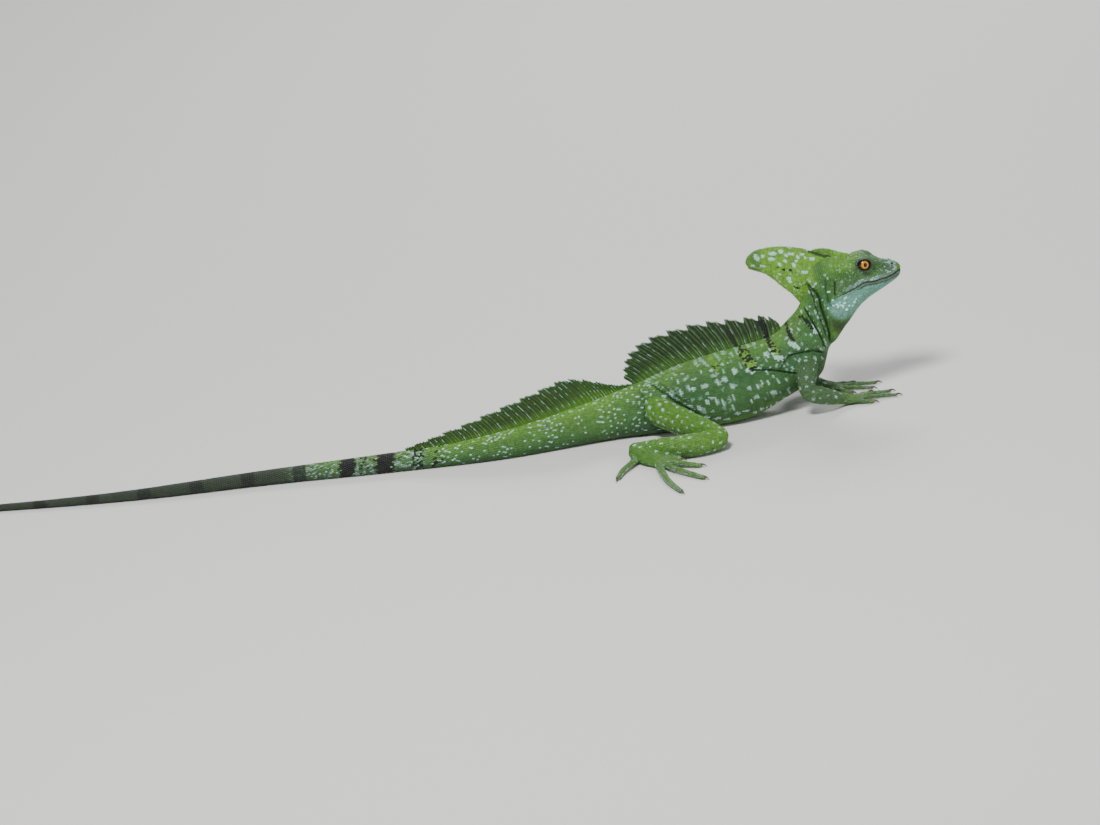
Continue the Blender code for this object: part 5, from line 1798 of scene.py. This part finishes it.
for name, fin, block_rows in (("scales_back_sail", "sail", 2.4), ("scales_tail_fin", "tail", 1.7)):
    rows, notes = fin_roots(fin, 1.15, 3)
    off, ray, number = notes.T
    chance = scatter(rows[:, :3])
    block = jumbled(ray * 12.9898 + np.floor(number / block_rows) * 78.233)
    n = len(rows)
    fin_marks, fin_zones = plain_marks(n)
    on_a_ray = off < 0.4
    fin_marks[:, 0] = bar_strength(rows[:, :3])
    low = smooth_step(0.5, 0.1, rows[:, 10])
    if fin == "sail":
        dashes = block < 0.26 + 0.16 * low
        fin_marks[:, 1] = np.where(on_a_ray, np.where(dashes, 0.15 + 0.45 * chance, 0.0), 0.0)
        fin_zones[:, 2] = 0.12 * on_a_ray * (1 - low)
        fin_zones[:, 0] = 0.06 + 0.1 * (off > 0.7) + 0.3 * low
        # painted shade: the columns beside each ray are darkest, for the pleats' shadow over the membrane's
        # own dark
        between = np.where(off > 0.7, 0.26, 0.66) - 0.3 * low
        fin_dark_and_pleat_shade = np.where(on_a_ray, np.where(dashes, 0.1, 0.18 - 0.1 * low), between)
    else:
        dots = on_a_ray & (block < 0.30)
        fin_marks[:, 1] = np.where(dots, 0.25 + 0.4 * chance, 0.0)
        fin_marks[:, 2] = 0.7 * dots
        fin_zones[:, 0] = 0.42 - 0.30 * rows[:, 10] + 0.24 * low
        # painted shade: the columns beside each ray are darkest, for the pleats' shadow over the membrane's
        # own dark
        between = np.where(on_a_ray, 0.26, np.where(off > 0.7, 0.36, 0.62)) - 0.2 * low
        fin_dark_and_pleat_shade = np.where(dots, 0.05, between)
    fin_marks[:, 0] = np.maximum(fin_marks[:, 0], fin_dark_and_pleat_shade * (0.8 + 0.4 * chance))
    edge = edge_roots(fin, 0.95)
    edge_marks, edge_zones = plain_marks(len(edge))
    at_tip = off_ray(edge[:, 10] * FINS[fin][1]) < 0.3
    edge_marks[:, 1] = np.where(at_tip, 0.7, 0.1) + 0.3 * rng.random(len(edge))
    edge_marks[:, 0] = np.where(at_tip, 0.0, 0.25)
    edge_zones[:, 2] = 0.8
    length, width, height = (np.concatenate([np.full(n, face), np.where(at_tip, tip, rim)])
                             for face, rim, tip in ((1.35, 0.7, 0.8), (0.86, 0.5, 0.8), (0.42, 0.4, 0.7)))
    dressed = dressed_roots(np.vstack([rows, edge]), length, width, height,
                            np.vstack([fin_marks, edge_marks]), np.vstack([fin_zones, edge_zones]))
    piece = set_scales(name, dressed, keeled_scale, fin_scale_material, 0.15, 11)
    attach(piece, "root")

# %% [markdown]
# ## The plume and the small crest
# Behind the head stands a flat plume, with a small saw-edged crest before it. Both are flaps of skin over
# gristle, so they are thin plates with a rounded edge, covered in flat oval scales with whitish ones
# scattered among them.

# %% Plume and small crest
PLUME_STATIONS = [
    (48.2, 110.8, 48.2, 107.4, 0.7), (50.0, 113.8, 49.8, 104.6, 1.1), (55.0, 116.8, 54.2, 102.4, 1.5),
    (62.0, 117.8, 60.2, 99.4, 1.8), (70.2, 117.6, 66.0, 93.8, 2.0), (77.0, 116.6, 70.8, 88.2, 2.2),
    (84.0, 114.8, 76.6, 82.0, 2.4), (91.0, 112.2, 83.0, 74.0, 2.7), (98.0, 107.6, 90.4, 77.0, 3.0),
    (106.0, 104.0, 98.0, 84.0, 3.2),
]
SMALL_CREST_STATIONS = [
    (92.6, 110.6, 96.0, 99.0, 0.7), (97.0, 111.6, 99.0, 99.0, 1.0), (101.2, 111.6, 102.0, 99.0, 1.2),
    (105.0, 110.8, 105.0, 100.0, 1.3), (109.5, 108.9, 109.0, 100.0, 1.3), (114.5, 106.6, 113.5, 100.0, 1.2),
    (118.5, 105.2, 118.0, 100.0, 1.0), (121.0, 103.8, 121.0, 100.0, 0.8),
]
PLUME_SPOTS = [
    (60.2, 113.0, 2.4, 1.3), (52.9, 110.9, 1.7, 1.2), (48.8, 106.2, 0.9, 1.3), (55.7, 104.8, 1.6, 2.2),
    (60.1, 105.7, 1.0, 1.0), (73.1, 108.1, 1.4, 1.2), (67.4, 107.0, 2.5, 1.0), (76.4, 105.5, 1.4, 0.9),
    (66.1, 103.4, 2.1, 1.0), (75.2, 101.8, 1.2, 1.0), (67.5, 113.9, 3.0, 0.8), (73.7, 112.4, 1.6, 0.7),
    (79.4, 110.6, 1.6, 0.7), (80.1, 106.5, 1.8, 0.8), (84.3, 104.4, 1.0, 1.2), (89.4, 103.7, 0.8, 0.7),
    (94.1, 102.6, 1.5, 1.1), (59.3, 98.8, 1.8, 0.7), (52.4, 99.1, 1.4, 0.7), (76.3, 89.8, 1.4, 1.2),
    (76.9, 87.2, 1.0, 0.9), (87.4, 94.1, 2.2, 1.1), (71.1, 99.5, 1.0, 1.2), (80.9, 99.2, 1.2, 1.5),
    (87.6, 105.9, 1.4, 0.7), (92.5, 108.2, 1.4, 0.8), (83.0, 101.7, 0.8, 0.7), (70.0, 92.6, 0.8, 0.6),
]
CREST_SHADOW = [(92.5, 107.2), (97.5, 105.4), (102.0, 103.6), (107.0, 102.2)]
PLUME_SPECKS = [(69.8, 97.7), (78.3, 95.6), (79.5, 83.5), (82.2, 82.9), (80.7, 82.9), (73.6, 96.0)]


def plate_surface(stations, t, angle):
    upper_x, upper_z, lower_x, lower_z, half = through(stations, t).T
    rise, side = np.cos(angle), np.sin(angle)
    return np.stack([
        (upper_x + lower_x) / 2 + (upper_x - lower_x) / 2 * rise, HEAD_PLANE - half * side,
        (upper_z + lower_z) / 2 + (upper_z - lower_z) / 2 * rise,
    ], axis=-1)


def plate_marks(places, on_plume):
    flat = side_view(places)
    x, up_v = flat.T
    chance = scatter(places)
    marks, zones = plain_marks(len(places))
    patch = 0.5 + 0.5 * np.sin(x * 0.42 + up_v * 0.31) * np.sin(up_v * 0.5 - x * 0.17 + 1.0)
    zones[:, 0] = 1.0 - 0.22 * patch
    marks[:, 0] = 0.09 * patch + 0.10 * (chance > 0.8)
    if on_plume:
        tip = smooth_step(62, 54, x)
        zones[:, 0] -= 0.35 * tip
        marks[:, 0] += 0.16 * tip
        specks = 0.5 * (chance > 0.93) * smooth_step(100, 94, up_v)
        marks[:, 1] = np.maximum(spots_at(x, up_v, PLUME_SPOTS), specks)
        for speck in PLUME_SPECKS:
            marks[np.linalg.norm((flat - speck) * (0.8, 1.2), axis=1) < 0.9, 0] = 1.0
    else:
        # painted shadow on the small crest's rear lower half, beneath the flap
        marks[:, 0] += 0.40 * smooth_step(111, 106, x) * smooth_step(109.5, 106.5, up_v)
        marks[:, 1] = 0.4 * (chance > 0.9)
    gap, _, _ = along_line(flat, CREST_SHADOW)
    marks[:, 0] = np.maximum(marks[:, 0], 0.85 * (gap + (chance - 0.5) * 0.7 < 0.8))
    return marks, zones


PLATE_RING = full_turn(64)
EDGE_PITCH = 1.5
plates = {}
for name, stations, pitch, inward in (("plume", PLUME_STATIONS, 1.25, (78.0, HEAD_PLANE, 98.0)),
                                      ("small_crest", SMALL_CREST_STATIONS, 1.05, (107.0, HEAD_PLANE, 96.0))):
    on_plume = name == "plume"
    steps = np.linspace(0, len(stations) - 1, 110)
    grid = np.stack([plate_surface(stations, np.full(len(PLATE_RING), t), PLATE_RING) for t in steps])
    plate = plates[name] = tube_object(name + "_skin", grid)
    store_coat(plate.data, *plate_marks(places_of(plate.data), on_plume), 0.3, 0.4)
    plate.data.materials.append(skin_material)
    plate_tree = tree_of(plate.data)
    rows = []
    for row in ring_roots(grid[1:], lambda c: pitch, 0.86):
        place, normal, _, _ = plate_tree.find_nearest(Vector(row[:3]))
        under, under_normal, _, _ = skin_tree.find_nearest(place)
        if (place - under).dot(under_normal) > -0.2:
            rows.append((*place, *normal, *row[3:9], 0))
    rows = np.array(rows)
    # a row of taller scales stands along the free edge
    t = np.linspace(0.4, len(stations) - (1.9 if on_plume else 0.4), 900)
    edge = plate_surface(stations, t, np.zeros(len(t)))
    if on_plume:
        edge = np.vstack([plate_surface(stations, t[::-1], np.full(len(t), np.pi)), edge])
    travel = travelled(edge)
    pick = np.searchsorted(travel, np.arange(0.5, travel[-1], EDGE_PITCH))
    n = len(pick)
    run = unit(np.gradient(edge, axis=0)[pick])
    away = columns(-run[:, 2], 0, run[:, 0])
    away *= np.sign(((edge[pick] - inward) * away).sum(axis=1))[:, None]
    back = np.tile((-1.0, 0, 0.1), (n, 1))
    edge_rows = columns(edge[pick] - away * 0.1, away, back, 0.005, np.arange(n) / n, EDGE_PITCH, 0)
    high = edge_rows[:, 5] > -0.2
    edge_marks, edge_zones = plain_marks(n)
    edge_marks[:, 1] = np.where(high, 0.45, 0.1) + 0.5 * rng.random(n) * high
    edge_zones[:, 0] = 0.8
    marks_here, zones_here = plate_marks(rows[:, :3], on_plume)
    sizes = np.vstack([np.tile((1.3, 1.0, 0.5), (len(rows), 1)), np.tile((1.05, 0.6, 1.9), (n, 1))])
    dressed = dressed_roots(np.vstack([rows, edge_rows]), *sizes.T,
                            np.vstack([marks_here, edge_marks]), np.vstack([zones_here, edge_zones]), 0.3)
    piece = set_scales("scales_" + name, dressed, round_scale, scale_material, 0.2, 13)
    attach(piece, "root")

# %% [markdown]
# ## Eyes
# The eye is an amber iris round a black pupil, wet and bright. The ball is painted by its own distance from
# the pupil, kept as an attribute, so the rings stay centred. A clear bulge over the iris, the cornea, gives
# the highlight. Lids of fine-scaled skin ring it, thicker above than below.

# %% The eyeballs and corneas
def eye_material():
    material, tree, shader = new_material("amber_eye")
    w = Wires(tree)
    rings = w.ramp(w.reading("iris").outputs["Fac"], [
        (0.0, (0.002, 0.002, 0.002)), (0.495, (0.003, 0.002, 0.002)), (0.53, (0.80, 0.50, 0.015)),
        (0.62, (0.76, 0.37, 0.003)), (0.80, (0.66, 0.22, 0.0)), (0.90, (0.32, 0.085, 0.0)),
        (1.0, (0.012, 0.010, 0.006)),
    ])
    streaks = w.spread(w.noise(1500.0, 3.0), 0.2, 0.7, 0.65, 1.1)
    w.links.new(w.mix(1.0, rings, streaks, "MULTIPLY"), shader.inputs["Base Color"])
    shader.inputs["Roughness"].default_value = 0.25
    shader.inputs["Specular IOR Level"].default_value = 0.2
    shader.inputs["Coat Weight"].default_value = 0.55
    shader.inputs["Coat Roughness"].default_value = 0.015
    return material


amber = eye_material()
IRIS_RADIUS, PUPIL = 3.2, (1.2, 1.65)
for tag, (centre, gaze, ahead, above) in eyes.items():
    rise = np.radians(np.concatenate([np.linspace(0.5, 60, 60), np.linspace(63, 178, 20)]))
    angle = full_turn(72)
    radius = EYE_RADIUS - 0.06 + 0.26 * bell(rise, 0.45)
    across = np.cos(angle)[None, :, None] * ahead + np.sin(angle)[None, :, None] * above
    grid = centre + (
        (radius * np.cos(rise))[:, None, None] * gaze + (radius * np.sin(rise))[:, None, None] * across)
    ball = tube_object("eyeball_" + tag, grid)
    a = (EYE_RADIUS * np.sin(rise))[:, None] * np.cos(angle)
    b = (EYE_RADIUS * np.sin(rise))[:, None] * np.sin(angle)
    in_pupil = np.hypot(a / PUPIL[0], b / PUPIL[1])
    in_iris = (np.hypot(a, b) - PUPIL[0]) / (IRIS_RADIUS - PUPIL[0])
    iris = np.where(in_pupil < 1, 0.5 * in_pupil, 0.5 + 0.5 * np.clip(in_iris, 0.02, 1))
    iris[rise > 1.3] = 1.0
    store_value(ball.data, "iris", iris.ravel())
    ball.data.materials.append(amber)
    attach(ball, "root")
    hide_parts("eye_" + tag)
print("eyeballs made")

# %% The lids
# how far out each fold lies in parts of the opening, and its lift over the base in millimetres
LID_FOLDS = [
    (0.98, 0.00), (1.01, 0.34), (1.07, 0.62), (1.15, 0.56), (1.21, 0.14), (1.27, 0.30), (1.34, 0.66),
    (1.41, 0.42), (1.46, 0.06), (1.51, 0.20), (1.57, 0.46), (1.64, 0.26), (1.71, 0.02), (1.81, -0.40),
]
GRANULE_ROWS = (1.15, 1.255, 1.34, 1.42, 1.50, 1.58, 1.67, 1.76)


def lid_point(out, angle):
    """Flat place over the opening: pointed at the eye's corners, round above and below."""
    pointed = 1 + 0.10 * bell(np.sin(angle), 0.28) * (2 - out)
    return OPENING[0] * out * pointed * np.cos(angle), OPENING[1] * out * np.sin(angle)


def lid_base(eye, out, angle):
    """Height over the eye's centre of the surface that the lids lie on: the ball inside, the skin outside."""
    centre, gaze, ahead, above = eye
    a, b = lid_point(out, angle)
    on_ball = math.sqrt(max((EYE_RADIUS + 0.12) ** 2 - a * a - b * b, 1.2))
    start = Vector(centre + ahead * a + above * b + gaze * RAY_START)
    place = whole_tree.ray_cast(start, Vector(-gaze))[0]
    on_skin = (np.array(place) - centre) @ gaze if place is not None else on_ball
    share = smooth_step(1.10, 1.45, out)
    return max(on_ball * (1 - share) + on_skin * share, on_skin * share)


for tag, eye in eyes.items():
    centre, gaze, ahead, above = eye
    surface = np.empty((len(LID_FOLDS), len(LID_ANGLES), 3))
    for r, (whole_out, lift) in enumerate(LID_FOLDS):
        for k, angle in enumerate(LID_ANGLES):
            out = 1 + (whole_out - 1) * (lid_reach[tag][k] - 1) / (LIDS_WIDE - 1)
            a, b = lid_point(out, angle)
            height = lid_base(eye, out, angle) + lift * (1.15 if math.sin(angle) > 0 else 0.9)
            surface[r, k] = centre + ahead * a + above * b + gaze * height
    under = surface - gaze * 0.5
    under[0] = surface[0] - gaze * 0.25
    grid = np.concatenate([surface, under[::-1]]).transpose(1, 0, 2)
    rows, sides, _ = grid.shape
    i, j = np.meshgrid(np.arange(rows), np.arange(sides), indexing="ij")
    next_i, next_j = (i + 1) % rows * sides, (j + 1) % sides
    faces = np.stack([i * sides + j, i * sides + next_j, next_i + next_j, next_i + j], axis=-1).reshape(-1, 4)
    lid = mesh_object("lids_" + tag, grid.reshape(-1, 3), faces)
    face_outwards(lid)
    out_of = np.array([out for out, lift in LID_FOLDS])
    out_of = np.tile(np.concatenate([out_of, out_of[::-1]]), rows)
    lid_shade_marks, lid_zones = plain_marks(len(out_of))
    # painted shade: dark at the lids' inner rim and in the creases between folds, and a little darker all
    # over
    lid_shade_marks[:, 0] = np.maximum.reduce([
        0.95 * smooth_step(1.32, 1.18, out_of), 0.75 * (np.abs(out_of - 1.46) < 0.02),
        0.8 * (np.abs(out_of - 1.21) < 0.02), np.full(len(out_of), 0.22)])
    lid_zones[:, 2] = 0.5
    lid_zones[:, 0] = 0.2
    store_coat(lid.data, lid_shade_marks, lid_zones, 0.3, 0.45)
    lid.data.materials.append(skin_material)
    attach(lid, "root")

    lid_tree = tree_of(lid.data)
    granules, granule_marks = [], []
    for k, whole_out in enumerate(GRANULE_ROWS):
        size = 0.52 + 0.05 * k
        count = int(2 * math.pi * 0.5 * sum(OPENING) * whole_out / (size * 1.02))
        for m in range(count):
            angle = 2 * math.pi * (m + 0.5 * (k % 2)) / count
            reach = np.interp(angle % (2 * np.pi), LID_ANGLES, lid_reach[tag], period=2 * np.pi)
            out = 1 + (whole_out - 1) * (reach - 1) / (LIDS_WIDE - 1)
            a, b = lid_point(out, angle)
            start = Vector(centre + ahead * a + above * b + gaze * RAY_START)
            place, normal, _, gap = lid_tree.ray_cast(start, Vector(-gaze))
            skin_hit = skin_tree.ray_cast(start, Vector(-gaze))
            if skin_hit[0] is not None and (place is None or skin_hit[3] < gap):
                place, normal = skin_hit[0], skin_hit[1]
            if place is None:
                continue
            away = ahead * math.cos(angle) + above * math.sin(angle)
            share_a, share_b = (0.5 + 0.25 * turned * out / 1.8
                                for turned in (math.cos(angle), math.sin(angle)))
            granules.append((*place, *normal, *away, share_a, share_b, size, 0))
            # painted shade: the granules nearest the opening are darkest, as the shade of the lids' rim
            dark = (0.88, 0.66, 0.42, 0.5)[k] if k < 4 else 0.24
            pale_line = 0.55 if k in (1, 2) and math.sin(angle) > 0.1 else 0.0
            pale = max(pale_line * rng.random(), 0.45 * (rng.random() > 0.93))
            granule_marks.append((dark, pale, 0.0, 1.0))
    granules, granule_marks = np.array(granules), np.array(granule_marks)
    granule_zones = np.tile((0.28, 0.0, 0.45, 1.0), (len(granules), 1))
    dressed = dressed_roots(granules, 1.05, 1.05, 0.7, granule_marks, granule_zones)
    piece = set_scales("lid_granules_" + tag, dressed, round_scale, scale_material, 0.12, 17)
    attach(piece, "root")

# %% [markdown]
# ## Claws
# Each toe ends in a claw of dark horn, curved down to the floor and paler at its tip. A swept tube that
# thins to a point gives it, because a cone can't bend.

# %% Claws
horn, horn_tree, horn_shader = new_material("claw_horn")
w = Wires(horn_tree)
horn_colour = w.ramp(w.noise(500.0, 2.0), [(0.0, (0.035, 0.028, 0.018)), (1.0, (0.16, 0.13, 0.08))])
w.links.new(horn_colour, horn_shader.inputs["Base Color"])
horn_shader.inputs["Roughness"].default_value = 0.3
for name, path in claws.items():
    claw = tube_object("claw_" + name, limb_surface(path, 26, 12))
    claw.data.materials.append(horn)
    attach(claw, "root")
print(len(claws), "claws")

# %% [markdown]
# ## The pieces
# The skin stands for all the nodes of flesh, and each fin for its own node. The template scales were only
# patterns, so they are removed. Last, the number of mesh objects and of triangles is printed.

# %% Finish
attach(skin, "root")
flesh = [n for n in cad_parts
         if not n.startswith("eye_") and n not in ("back_sail", "tail_fin", "head_plume", "front_crest")]
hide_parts(*flesh)
for obj, node in ((sail, "back_sail"), (tail_fin, "tail_fin"), (plates["plume"], "head_plume"),
                  (plates["small_crest"], "front_crest")):
    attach(obj, "root")
    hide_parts(node)
for pattern in (keeled_scale, round_scale, lip_plate):
    bpy.data.objects.remove(pattern, do_unlink=True)
pieces = [o for o in bpy.data.objects if o.type == "MESH"]
print(len(pieces), "mesh objects,", sum(triangles_in(o.data) for o in pieces), "triangles")
